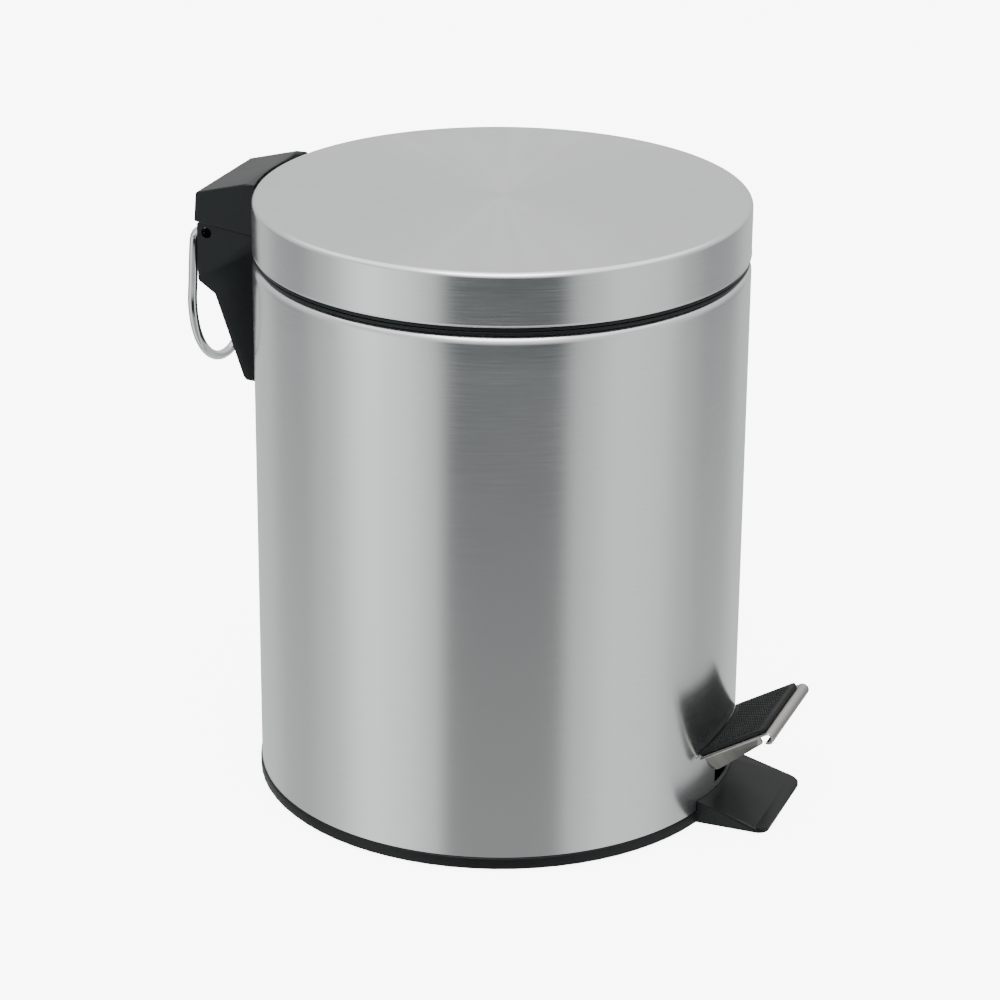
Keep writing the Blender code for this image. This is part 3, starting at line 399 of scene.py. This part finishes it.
def steel_lengthwise(name, colour, roughness, blur=0.6):
    """Sheet brushed square to X, as the pedal is: fine lines run down its slope and round its roll.

    The bent sides, which face along X below the plate, are painted dark as painted shade.
    """
    f = Finish(bpy.data.materials.new(name))
    place = f.place()
    x, y, z = f.parts(place)
    slow = f.sum("MULTIPLY", f.sum("SUBTRACT", z, y), 45.0)
    lines = f.noise(f.vector(f.sum("MULTIPLY", x, 1900.0), slow, 0.0), 1.0, 4.0, 0.7)
    stain = f.noise(place, 90.0, 4.0, 0.65)
    shade = f.span(lines, 0.0, 1.0, 0.25, 0.75)
    way = np.array(PLATE_OUT) - np.array(PLATE_IN)
    way /= np.linalg.norm(way)
    start = float(way[0] * PLATE_IN[1] - way[1] * PLATE_IN[0])
    down = f.sum("SUBTRACT", f.sum("MULTIPLY", z, way[0]), f.sum("MULTIPLY", y, way[1]))
    deep = f.sum("GREATER_THAN", down, start + FLANGE_TOP)
    normal = f.parts(f.tree.nodes.new("ShaderNodeNewGeometry").outputs["Normal"])
    # painted shade: the bent sides below the plate, where the normal faces along X, are marked here and their
    # colour is taken near black
    flange = f.sum("GREATER_THAN", f.sum("ABSOLUTE", normal[0]), 0.6)
    flange = f.sum("MULTIPLY", flange, deep)
    flange = f.sum("MULTIPLY", flange, f.sum("GREATER_THAN", y, FLANGE_FRONT))
    grain_with_painted_shade = f.sum("SUBTRACT", shade, flange)
    f.set(Base_Color=f.blend(f.span(grain_with_painted_shade, 0.0, 1.0, -1.0, 1.0), tint(colour, 0.18), tint(colour, 1.12)))
    grain = f.span(lines, roughness - 0.07, roughness + 0.07, 0.2, 0.8)
    f.set(Roughness=f.sum("ADD", grain, f.span(stain, -0.05, 0.05, 0.3, 0.7)))
    f.set(Normal=f.bump(lines, 0.00003, 0.7))
    f.set(Tangent=f.vector(1.0, 0.0, 0.0))
    f.set(Metallic=1.0, Anisotropic=blur)
    return f.material


def plain_steel(name, colour, roughness):
    """Drawn or plated steel: fine mottling, and small scratches that run one way."""
    f = Finish(bpy.data.materials.new(name))
    place = f.place()
    x, y, z = f.parts(place)
    scratch = f.noise(f.vector(f.sum("MULTIPLY", x, 300.0), f.sum("MULTIPLY", y, 300.0), z), 6.0, 5.0, 0.7)
    mottle = f.noise(place, 420.0, 3.0)
    f.set(Base_Color=f.blend(mottle, tint(colour, 0.86), tint(colour, 1.08)))
    f.set(Roughness=f.span(scratch, roughness - 0.08, roughness + 0.08, 0.25, 0.75))
    f.set(Normal=f.bump(scratch, 0.00001, 0.4))
    f.set(Metallic=1.0)
    return f.material


def bright_wire(name, colour):
    """Chrome over wire: nearly a mirror, with faint drawing lines and handling marks; its cut ends, sunk in
    the bracket's holes, are painted near black as painted shade, so they read as dark holes.
    """
    f = Finish(bpy.data.materials.new(name))
    place = f.place()
    x, y, z = f.parts(place)
    lines = f.noise(f.vector(f.sum("MULTIPLY", x, 1500.0), f.sum("MULTIPLY", y, 1500.0), z), 1.0, 3.0)
    marks = f.noise(place, 130.0, 4.0, 0.7)
    # painted shade: the cut ends sunk in the bracket's holes are marked here and given a colour near black,
    # for the shade inside the hole
    ends = f.sum("GREATER_THAN", f.sum("ABSOLUTE", x), WIRE_TIP_X - 0.0002)
    ends = f.sum("MULTIPLY", ends, f.sum("GREATER_THAN", z, WIRE_PIVOT[1] - 0.0030))
    marks_and_painted_shade = f.sum("MULTIPLY", f.span(marks, 1.0, 0.94), f.sum("SUBTRACT", 1.0, ends))
    f.set(Base_Color=f.blend(marks_and_painted_shade, (0.004, 0.004, 0.004), colour))
    f.set(Roughness=f.sum("ADD", f.span(marks, 0.04, 0.13, 0.35, 0.7), f.sum("MULTIPLY", ends, 0.5)))
    f.set(Normal=f.bump(lines, 0.000006, 0.35))
    f.set(Metallic=1.0)
    return f.material


def moulded(name, colour, roughness, grain=0.00003):
    """Moulded black plastic: a fine spark-eroded grain, slight flow clouding and matt patches."""
    f = Finish(bpy.data.materials.new(name))
    place = f.place()
    cells = f.noise(place, 2600.0, 2.0, 0.6)
    cloud = f.noise(place, 60.0, 4.0, 0.6)
    f.set(Base_Color=f.blend(cloud, tint(colour, 0.82), tint(colour, 1.25)))
    even = f.span(cells, roughness - 0.05, roughness + 0.05)
    f.set(Roughness=f.sum("ADD", even, f.span(cloud, -0.04, 0.04)))
    f.set(Normal=f.bump(cells, grain, 0.55))
    f.set(Specular_IOR_Level=0.25)
    return f.material


def rubbery(name, colour):
    """Soft rubber: matt, slightly dusty, with a powdery grain."""
    f = Finish(bpy.data.materials.new(name))
    place = f.place()
    powder = f.noise(place, 3200.0, 3.0, 0.7)
    dust = f.noise(place, 120.0, 4.0, 0.65)
    f.set(Base_Color=f.blend(dust, tint(colour, 0.8), tint(colour, 1.5)))
    f.set(Roughness=f.span(dust, 0.46, 0.62, 0.3, 0.7))
    f.set(Normal=f.bump(powder, 0.00003, 0.5))
    f.set(Specular_IOR_Level=0.3)
    return f.material


# Pieces


def body_levels():
    """Outer and inner (radius, z) lines of the body's sheet, with the same number of points."""
    low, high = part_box("body_shell")
    bend = (high.x - SHOULDER, high.z - SHOULDER)
    lip = bend[0] - SHOULDER_FLAT
    heights = np.array([low.z, SLOT_LOW, SLOT_HIGH, *WALL_LEVELS, *REAR_SLOT])
    heights = np.sort(heights)[::-1, None]
    outer = [[[lip, high.z]], arc(bend, SHOULDER, 90, 0)]
    inner = [[[lip, high.z - SHEET]], arc(bend, SHOULDER - SHEET, 90, 0)]
    outer.append(np.hstack([np.full_like(heights, high.x), heights]))
    inner.append(np.hstack([np.full_like(heights, high.x - SHEET), heights]))
    return np.vstack(outer), np.vstack(inner)


def body_shell_mesh(steps):
    """Two walls, each point (r cos t, r sin t, z), joined at top and bottom and round both slots.

    A cell of both walls is left out where its middle lies in a slot, and the slot's border is joined across.
    """
    outer, inner = body_levels()
    radius = outer[-1, 0]
    front = math.asin(SLOT_HALF / radius)
    rear = math.asin(REAR_SLOT_HALF / radius)
    edges = [1.5 * math.pi - front, 1.5 * math.pi + front, 0.5 * math.pi - rear, 0.5 * math.pi + rear]
    even = np.arange(steps) * math.tau / steps
    far = np.abs(even[:, None] - np.array(edges)[None]).min(1) > 0.4 * math.tau / steps
    turn = np.sort(np.concatenate([even[far], edges]))
    rows, columns = len(outer), len(turn)
    wall = [
        np.stack(
            [p[:, :1] * np.cos(turn), p[:, :1] * np.sin(turn), np.repeat(p[:, 1:], columns, 1)], -1
        ).reshape(-1, 3)
        for p in (outer, inner)
    ]
    quads = grid_quads(rows, columns, False, True).reshape(rows - 1, columns, 4)
    middle_z = (outer[1:, 1] + outer[:-1, 1])[:, None] / 2
    width = np.diff(np.append(turn, turn[0] + math.tau))
    middle = (turn + width / 2)[None]
    in_front = (np.abs(middle - 1.5 * math.pi) < front) & (middle_z > SLOT_LOW) & (middle_z < SLOT_HIGH)
    in_rear = (np.abs(middle - 0.5 * math.pi) < rear) & (middle_z > REAR_SLOT[0]) & (middle_z < REAR_SLOT[1])
    open_ = in_front | in_rear
    kept = quads[~open_]
    shift = rows * columns
    faces = [kept, kept[:, ::-1] + shift]
    for row in (0, rows - 1):
        a = row * columns + np.arange(columns)
        b = row * columns + (np.arange(columns) + 1) % columns
        faces.append(np.stack([a, b, b + shift, a + shift], -1))
    shut = ~open_
    sides = (
        (np.roll(shut, 1, 0), 0, 3),
        (np.roll(shut, -1, 0), 1, 2),
        (np.roll(shut, 1, 1), 0, 1),
        (np.roll(shut, -1, 1), 3, 2),
    )
    for beside, first, second in sides:
        border = quads[open_ & beside]
        a, b = border[:, first], border[:, second]
        faces.append(np.stack([a, b, b + shift, a + shift], -1))
    return mesh_from("body_shell_fine", np.vstack(wall), np.vstack(faces))


def lid_shell_mesh(steps):
    """The lid's section turned round Z: flat top, rounded edge, skirt, and a small bead along its hem."""
    low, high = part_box("lid_shell")
    radius = high.x
    corner = (radius - LID_EDGE, high.z - LID_EDGE)
    bead = (radius - SHEET / 2, low.z + SHEET / 2 + HEM / 2)
    ring = SHEET / 2 + HEM / 2
    flat = np.stack([np.linspace(0, corner[0] - 0.001, 10), np.full(10, high.z)], -1)
    under = np.stack([np.linspace(corner[0] - 0.001, 0, 10), np.full(10, high.z - SHEET)], -1)
    profile = [flat, arc(corner, LID_EDGE, 90, 0), [[radius, bead[1] + ring * HEM_RUN]]]
    profile.append(arc((bead[0], low.z + ring), ring, 40, -180, 14))
    profile.append([[radius - SHEET, bead[1] + ring * HEM_RUN]])
    profile.append(arc(corner, LID_EDGE - SHEET, 0, 90))
    profile.append(under)
    return spin("lid_shell_fine", profile, False, steps)


def lip_ring(name, lip_radius, wall_radius, inner_radius, top, bottom, tail, steps):
    """A thin black lip with a wall behind it: its section turned round Z, with the lip's edge rounded."""
    edge = LIP_EDGE
    profile = [[[inner_radius, top], [lip_radius - edge, top]]]
    profile.append(arc((lip_radius - edge, top - edge), edge, 90, 0, 5))
    profile.append(arc((lip_radius - edge, bottom + edge), edge, 0, -90, 5))
    profile.append([[wall_radius, bottom], [wall_radius, tail], [inner_radius, tail]])
    return spin(name, profile, True, steps)


def liner_mesh(steps):
    """The liner's section turned round Z: a flat roof, a wall inside the skirt, and the lip below it."""
    low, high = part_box("lid_liner")
    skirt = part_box("lid_shell")[1].x - SHEET - GAP
    lip = high.x
    inner = skirt - LINER_WALL
    roof = high.z - LINER_WALL
    bend = LID_EDGE - SHEET - GAP
    edge = LIP_EDGE
    lip_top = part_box("lid_shell")[0].z - GAP
    profile = [np.stack([np.linspace(0, skirt - bend, 8), np.full(8, high.z)], -1)]
    profile.append(arc((skirt - bend, high.z - bend), bend, 90, 0, 6))
    profile.append([[skirt, lip_top]])
    profile.append(arc((lip - edge, lip_top - edge), edge, 90, 0, 5))
    profile.append(arc((lip - edge, low.z + edge), edge, 0, -90, 5))
    profile.append([[inner, low.z]])
    profile.append(arc((inner - LINER_CORNER, roof - LINER_CORNER), LINER_CORNER, 0, 90, 6))
    profile.append(np.stack([np.linspace(inner - 1.5 * LINER_CORNER, 0, 8), np.full(8, roof)], -1))
    return spin("lid_liner_fine", profile, False, steps)


def smooth_step(low, high, value):
    """0 up to low, 1 from high on, and 3 t squared less 2 t cubed between them."""
    t = np.clip((value - low) / (high - low), 0, 1)
    return t * t * (3 - 2 * t)


def tread_mesh():
    """The pad's top as a height over (along the slope, across): a level, rounded at the border, with nubs.

    Rows of nubs run across, every other row moved half a step. Each nub is 1 inside a rounded box and
    falls smoothly to 0 outside it. The back edge follows the body's circle, and the front corners are round.
    """
    rows, columns = TREAD_GRID
    start = np.array(PLATE_IN)
    way = np.array(PLATE_OUT) - start
    length = np.linalg.norm(way)
    way /= length
    up = np.array([-way[1], way[0]])
    up = up if up[1] > 0 else -up
    across = np.linspace(-TREAD_HALF, TREAD_HALF, columns)
    body_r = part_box("body_shell")[1].x + TREAD_BACK_GAP
    back = (-np.sqrt(body_r**2 - across**2) - start[0]) / way[0]
    past = np.clip(np.abs(across) - (TREAD_HALF - TREAD_CORNER), 0, TREAD_CORNER)
    front = length - TREAD_FRONT_GAP - (TREAD_CORNER - np.sqrt(TREAD_CORNER**2 - past**2))
    share = np.linspace(0, 1, rows)[:, None]
    along = back + (front - back) * share
    x = np.broadcast_to(across, along.shape)
    border = np.minimum(np.minimum(along - back, front - along), TREAD_HALF - np.abs(x))
    inward = np.clip(border / TREAD_EDGE, 0, 1)
    rim = TREAD_EDGE * (np.sqrt(np.clip(1 - (1 - inward) ** 2, 0, 1)) - 1)
    row = np.floor(along / NUB_PITCH[0])
    du = along - (row + 0.5) * NUB_PITCH[0]
    dv = np.mod(x / NUB_PITCH[1] + 0.5 * np.mod(row, 2), 1) - 0.5
    dv = dv * NUB_PITCH[1]
    reach = (np.abs(du) / NUB_SIZE[0]) ** NUB_SQUARE + (np.abs(dv) / NUB_SIZE[1]) ** NUB_SQUARE
    nub = 1 - smooth_step(*NUB_SLOPE, reach ** (1 / NUB_SQUARE))
    nub *= smooth_step(NUB_BORDER, NUB_BORDER + NUB_FADE, border)
    top = GAP + TREAD_HEIGHT - NUB_HEIGHT + rim + NUB_HEIGHT * nub
    floor = np.full_like(top, GAP)

    def placed(height):
        flat = start[None, None] + way[None, None] * along[..., None] + up[None, None] * height[..., None]
        return np.concatenate([x[..., None], flat], -1).reshape(-1, 3)

    quads = grid_quads(rows, columns)
    shift = rows * columns
    ids = np.arange(shift).reshape(rows, columns)
    loop = np.concatenate([ids[0, :-1], ids[:-1, -1], ids[-1, :0:-1], ids[:0:-1, 0]])
    after = np.roll(loop, -1)
    base = placed(floor)[loop]
    ring = shift + np.arange(len(loop))
    walls = np.stack([loop, after, np.roll(ring, -1), ring], -1)
    points = np.vstack([placed(top), base])
    underside = ring[::-1].tolist()
    return mesh_from("tread_pad_fine", points, np.vstack([quads, walls]), [underside])


def handle_path():
    """The handle's middle line, a smooth curve: side stub, two bends, flared leg and round bottom.

    The bottom is half of a circle of the widest half width, and the other leg is the mirror image about x = 0.
    """
    pivot_y, pivot_z = WIRE_PIVOT
    low_y, low_z = WIRE_LOW
    back = WIRE_BACK
    loop_z = low_z + WIRE_WIDE_X
    lean = (back + 0.0001 - low_y) / (0.2116 - low_z)
    first = [
        (WIRE_TIP_X, pivot_y, pivot_z),
        (WIRE_TOP_X + 0.0012, pivot_y, pivot_z),
        (WIRE_TOP_X + 0.0004, pivot_y + 0.0008, pivot_z),
        (WIRE_TOP_X, pivot_y + 0.0024, pivot_z),
        (WIRE_TOP_X, pivot_y + 0.0044, pivot_z - 0.0002),
        (WIRE_TOP_X + 0.0001, back + 0.0003, pivot_z - 0.0026),
        (WIRE_TOP_X + 0.0008, back + 0.0009, pivot_z - 0.0078),
        (WIRE_WIDE_X - 0.0022, low_y + lean * 0.0400, low_z + 0.0400),
        (WIRE_WIDE_X - 0.0002, low_y + lean * 0.0320, low_z + 0.0320),
    ]
    bend = arc((0, loop_z), WIRE_WIDE_X, -4, -90, 9)
    bottom = [(x, low_y + lean * (z - low_z), z) for x, z in bend]
    half = first + bottom
    other = [(-x, y, z) for x, y, z in half[-2::-1]]
    return smooth_line(half + other, 260)


def bail_path():
    """The bucket's bail: short ends along X through the lugs, and a half circle that dips to the flange."""
    turn = np.linspace(0, math.pi, 90)
    drop = np.sin(turn)
    height = BAIL_PIVOT_Z + (BAIL_REST_Z - BAIL_PIVOT_Z) * drop
    loop = np.stack([BAIL_LOOP * np.cos(turn), -BAIL_LOOP * drop, height], -1)
    ends = [[BAIL_END_X, 0, BAIL_PIVOT_Z], [BAIL_END_X + 0.0025, 0, BAIL_PIVOT_Z]]
    return np.vstack([ends, loop, [[-x, y, z] for x, y, z in ends[::-1]]])


# Operators


class BIN_OT_body(bpy.types.Operator):
    """Makes the brushed steel body with its rolled shoulder and its two slots"""

    bl_idname = "pedal_bin.body"
    bl_label = "Body"

    def execute(self, context):
        scene = context.scene
        finish = steel_around("body_steel", scene.bin_finishes.steel[:], 0.23, seam=True)
        mesh = body_shell_mesh(scene.bin_sizes.steps)
        show("body_shell_fine", mesh, "body", finish, ["body_shell"])
        return {"FINISHED"}


class BIN_OT_base(bpy.types.Operator):
    """Makes the black base with its foot, the rubber feet and the rim ring"""

    bl_idname = "pedal_bin.base"
    bl_label = "Base and rim"

    def execute(self, context):
        scene = context.scene
        plastic = scene.bin_finishes.plastic[:]
        finished_copy("base_tray", moulded("base_plastic", plastic, 0.42))
        rubber = rubbery("foot_rubber", scene.bin_finishes.rubber[:])
        for number in (1, 2, 3, 4):
            finished_copy("foot_pad_" + str(number), rubber)
        low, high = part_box("rim_ring")
        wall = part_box("body_shell")[1].x - SHOULDER - SHOULDER_FLAT - GAP
        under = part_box("body_shell")[1].z + GAP
        ring = lip_ring(
            "rim_ring_fine", high.x, wall, wall - RIM_WALL, high.z, under, low.z, scene.bin_sizes.steps
        )
        show("rim_ring_fine", ring, "body", moulded("rim_plastic", plastic, 0.34), ["rim_ring"])
        return {"FINISHED"}


class BIN_OT_lid(bpy.types.Operator):
    """Makes the brushed steel lid and its black liner"""

    bl_idname = "pedal_bin.lid"
    bl_label = "Lid"

    def execute(self, context):
        scene = context.scene
        steps = scene.bin_sizes.steps
        steel = steel_around("lid_steel", scene.bin_finishes.steel[:], 0.24)
        show("lid_shell_fine", lid_shell_mesh(steps), "lid", steel, ["lid_shell"])
        plastic = moulded("liner_plastic", scene.bin_finishes.plastic[:], 0.34)
        show("lid_liner_fine", liner_mesh(steps), "lid", plastic, ["lid_liner"])
        return {"FINISHED"}


class BIN_OT_hinge(bpy.types.Operator):
    """Makes the hinge cover, its bracket, the pin, the crank and their screws"""

    bl_idname = "pedal_bin.hinge"
    bl_label = "Hinge"

    def execute(self, context):
        finishes = context.scene.bin_finishes
        finished_copy("hinge_cover", moulded("cover_plastic", finishes.plastic[:], 0.36))
        finished_copy("hinge_bracket", moulded("bracket_plastic", finishes.plastic[:], 0.42))
        finished_copy("lid_crank", plain_steel("crank_steel", (0.50, 0.50, 0.50), 0.38))
        pin = plain_steel("pin_steel", (0.55, 0.55, 0.55), 0.25)
        finished_copy("hinge_pin", pin)
        screw = plain_steel("screw_steel", (0.52, 0.52, 0.53), 0.30)
        for name in ("bracket_screw_left", "bracket_screw_right", "cover_screw_left", "cover_screw_right"):
            finished_copy(name, screw)
        return {"FINISHED"}


class BIN_OT_mechanism(bpy.types.Operator):
    """Makes the push rod, its guide, the pedal lever, its axle and the axle's clips"""

    bl_idname = "pedal_bin.mechanism"
    bl_label = "Mechanism"

    def execute(self, context):
        finishes = context.scene.bin_finishes
        finished_copy("push_rod", plain_steel("rod_steel", (0.55, 0.55, 0.55), 0.30))
        finished_copy("pedal_lever", plain_steel("lever_steel", (0.48, 0.48, 0.47), 0.36))
        finished_copy("lever_axle", plain_steel("axle_steel", (0.55, 0.55, 0.55), 0.25))
        clip = plain_steel("clip_steel", (0.45, 0.45, 0.44), 0.35)
        finished_copy("axle_clip_left", clip)
        finished_copy("axle_clip_right", clip)
        finished_copy("rod_guide", moulded("guide_plastic", finishes.plastic[:], 0.45))
        return {"FINISHED"}


class BIN_OT_pedal(bpy.types.Operator):
    """Makes the steel pedal plate and its nubbed tread pad"""

    bl_idname = "pedal_bin.pedal"
    bl_label = "Pedal"

    def execute(self, context):
        finishes = context.scene.bin_finishes
        finished_copy("pedal_plate", steel_lengthwise("pedal_steel", finishes.warm_steel[:], 0.30), 40.0)
        tread = rubbery("tread_rubber", finishes.rubber[:])
        show("tread_pad_fine", tread_mesh(), "pedal", tread, ["tread_pad"], 60.0)
        return {"FINISHED"}


class BIN_OT_bucket(bpy.types.Operator):
    """Makes the inner bucket and its wire bail"""

    bl_idname = "pedal_bin.bucket"
    bl_label = "Bucket"

    def execute(self, context):
        finishes = context.scene.bin_finishes
        finished_copy("inner_bucket", moulded("bucket_plastic", finishes.plastic[:], 0.40))
        bail = plain_steel("bail_steel", (0.60, 0.60, 0.60), 0.22)
        mesh = tube("bucket_bail_fine", bail_path(), BAIL_R)
        show("bucket_bail_fine", mesh, "bail", bail, ["bucket_bail"])
        return {"FINISHED"}


class BIN_OT_handle(bpy.types.Operator):
    """Makes the chromed wire handle on the back"""

    bl_idname = "pedal_bin.handle"
    bl_label = "Handle"

    def execute(self, context):
        scene = context.scene
        mesh = tube("carry_handle_fine", handle_path(), scene.bin_sizes.wire, 36)
        chrome = bright_wire("handle_chrome", scene.bin_finishes.chrome[:])
        show("carry_handle_fine", mesh, "handle", chrome, ["carry_handle"])
        return {"FINISHED"}


class BIN_OT_stage(bpy.types.Operator):
    """Makes the pale floor, the soft studio surroundings and the camera"""

    bl_idname = "pedal_bin.stage"
    bl_label = "Stage"

    def execute(self, context):
        scene = context.scene
        make_floor()
        make_sky(scene, scene.bin_stage.sky)
        make_key(scene, scene.bin_stage.key)
        make_camera(scene)
        return {"FINISHED"}


# Stage

CAMERA_AZIMUTH = -69.2
CAMERA_AWAY = 1.3314
CAMERA_HEIGHT = 0.6653
CAMERA_PITCH = 22.2055
CAMERA_ROLL = 0.466
CAMERA_LENS = 122.36
KEY_PLACE = (-0.7, -0.2, 1.9)
KEY_WIDTH = 1.4
FLOOR_HALF = 6.0
FLOOR_ROWS = 25

# Brightness of the surroundings seen low in the steel, by angle in degrees from the camera's side
SKY_BANDS = (
    (-180, 0.78),
    (-140, 0.72),
    (-118, 0.42),
    (-104, 0.37),
    (-88, 0.62),
    (-62, 1.40),
    (-46, 1.15),
    (-32, 0.80),
    (-22, 0.03),
    (26, 0.03),
    (36, 0.62),
    (56, 0.98),
    (76, 0.90),
    (96, 0.52),
    (108, 0.36),
    (124, 0.40),
    (150, 0.74),
    (180, 0.78),
)

# Even light mixed over the bands: the most of it, its brightness, and the heights it grows between
SKY_LEVELS = ((0.38, 1.0, (-0.33, -0.42)), (1.0, 0.90, (-0.05, 0.35)), (1.0, 1.9, (0.52, 0.72)))


def make_floor():
    """A wide square floor, slightly mottled, that the steel's mirror image leaves out."""
    rows = np.linspace(-FLOOR_HALF, FLOOR_HALF, FLOOR_ROWS)
    x, y = np.meshgrid(rows, rows, indexing="ij")
    points = np.stack([x, y, np.zeros_like(x)], -1).reshape(-1, 3)
    mesh = mesh_from("floor", points, grid_quads(FLOOR_ROWS, FLOOR_ROWS)[:, ::-1])
    f = Finish(bpy.data.materials.new("floor_paint"))
    mottle = f.noise(f.place(), 3.0, 3.0)
    f.set(Base_Color=f.blend(mottle, (0.90, 0.90, 0.90), (0.93, 0.93, 0.93)))
    f.set(Roughness=f.span(mottle, 0.75, 0.85), Specular_IOR_Level=0.1)
    f.set(Emission_Color=(1.0, 1.0, 1.0, 1.0), Emission_Strength=7.0)
    mesh.materials.append(f.material)
    floor = bpy.data.objects.new("floor", mesh)
    bpy.context.scene.collection.objects.link(floor)
    floor.visible_glossy = False


def make_sky(scene, strength):
    """Soft light from all round: broad bright and dim bands below, an even pale dome above."""
    world = bpy.data.worlds.new("studio")
    scene.world = world
    f = Finish(world, "Background")
    tree = f.tree
    way = tree.nodes.new("ShaderNodeTexCoord").outputs["Generated"]
    x, y, z = f.parts(way)
    a = math.radians(CAMERA_AZIMUTH)
    to_camera = (math.sin(a), -math.cos(a))
    to_right = (math.cos(a), math.sin(a))
    near = f.sum("ADD", f.sum("MULTIPLY", x, to_camera[0]), f.sum("MULTIPLY", y, to_camera[1]))
    right = f.sum("ADD", f.sum("MULTIPLY", x, to_right[0]), f.sum("MULTIPLY", y, to_right[1]))
    turn = f.sum("ARCTAN2", right, near)
    around = f.sum("MULTIPLY_ADD", turn, 1 / math.tau, 0.5)
    ramp = tree.nodes.new("ShaderNodeValToRGB")
    ramp.color_ramp.interpolation = "EASE"
    for _ in SKY_BANDS[2:]:
        ramp.color_ramp.elements.new(0.5)
    for element, (angle, value) in zip(ramp.color_ramp.elements, SKY_BANDS):
        element.position = angle / 360 + 0.5
    for element, (angle, value) in zip(ramp.color_ramp.elements, SKY_BANDS):
        element.color = (value * 0.985 - 0.010, value, value * 1.005 + 0.002, 1.0)
    f.plug(ramp.inputs[0], around)
    colour = ramp.outputs[0]
    for share, level, heights in SKY_LEVELS:
        factor = f.span(z, 0.0, share, *heights)
        mix = tree.nodes.new("ShaderNodeMix")
        mix.data_type = "RGBA"
        f.plug(mix.inputs[0], factor)
        f.plug(mix.inputs[6], colour)
        f.plug(mix.inputs[7], (level, level, level, 1.0))
        colour = mix.outputs[2]
    f.plug(f.shader.inputs[0], colour)
    f.plug(f.shader.inputs[1], strength)


def make_key(scene, power):
    """A wide round lamp above, aimed at the bin."""
    light = bpy.data.lights.new("key", "AREA")
    light.shape = "DISK"
    light.size = KEY_WIDTH
    light.energy = power
    key = bpy.data.objects.new("key", light)
    key.location = KEY_PLACE
    key.rotation_mode = "QUATERNION"
    key.rotation_quaternion = (Vector((0, 0, 0.1)) - key.location).to_track_quat("-Z", "Y")
    scene.collection.objects.link(key)


def make_camera(scene):
    """The camera looks level round the axis, down by its pitch, and is turned by its roll."""
    a = math.radians(CAMERA_AZIMUTH)
    p = math.radians(CAMERA_PITCH)
    data = bpy.data.cameras.new("camera")
    data.lens = CAMERA_LENS
    data.sensor_width = 36.0
    data.clip_start = 0.05
    camera = bpy.data.objects.new("camera", data)
    side = Vector((math.sin(a), -math.cos(a), 0))
    place = side * CAMERA_AWAY + Vector((0, 0, CAMERA_HEIGHT))
    way = -side * math.cos(p) + Vector((0, 0, -math.sin(p)))
    turn = way.to_track_quat("-Z", "Y").to_matrix().to_4x4()
    roll = Matrix.Rotation(math.radians(CAMERA_ROLL), 4, "Z")
    camera.matrix_world = Matrix.Translation(place) @ turn @ roll
    scene.collection.objects.link(camera)
    scene.camera = camera


class BIN_PT_panel(bpy.types.Panel):
    """Lists the bin's settings and its pieces"""

    bl_idname = "BIN_PT_panel"
    bl_label = "Pedal Bin"
    bl_space_type = "VIEW_3D"
    bl_region_type = "UI"
    bl_category = "Pedal Bin"

    def draw(self, context):
        scene = context.scene
        for settings in (scene.bin_sizes, scene.bin_finishes, scene.bin_stage):
            for name in settings.bl_rna.properties.keys():
                if name not in ("rna_type", "name"):
                    self.layout.prop(settings, name)
        for operator in OPERATORS:
            self.layout.operator(operator.bl_idname)


OPERATORS = (
    BIN_OT_body,
    BIN_OT_base,
    BIN_OT_lid,
    BIN_OT_hinge,
    BIN_OT_mechanism,
    BIN_OT_pedal,
    BIN_OT_bucket,
    BIN_OT_handle,
    BIN_OT_stage,
)
CLASSES = (BinSizes, BinFinishes, BinStage, *OPERATORS, BIN_PT_panel)


def register():
    for cls in CLASSES:
        bpy.utils.register_class(cls)
    bpy.types.Scene.bin_sizes = bpy.props.PointerProperty(type=BinSizes)
    bpy.types.Scene.bin_finishes = bpy.props.PointerProperty(type=BinFinishes)
    bpy.types.Scene.bin_stage = bpy.props.PointerProperty(type=BinStage)


def unregister():
    del bpy.types.Scene.bin_sizes
    del bpy.types.Scene.bin_finishes
    del bpy.types.Scene.bin_stage
    for cls in reversed(CLASSES):
        bpy.utils.unregister_class(cls)


def main():
    """Makes every piece and the stage."""
    register()
    for operator in OPERATORS:
        group, name = operator.bl_idname.split(".")
        getattr(getattr(bpy.ops, group), name)()


if __name__ == "__main__":
    main()
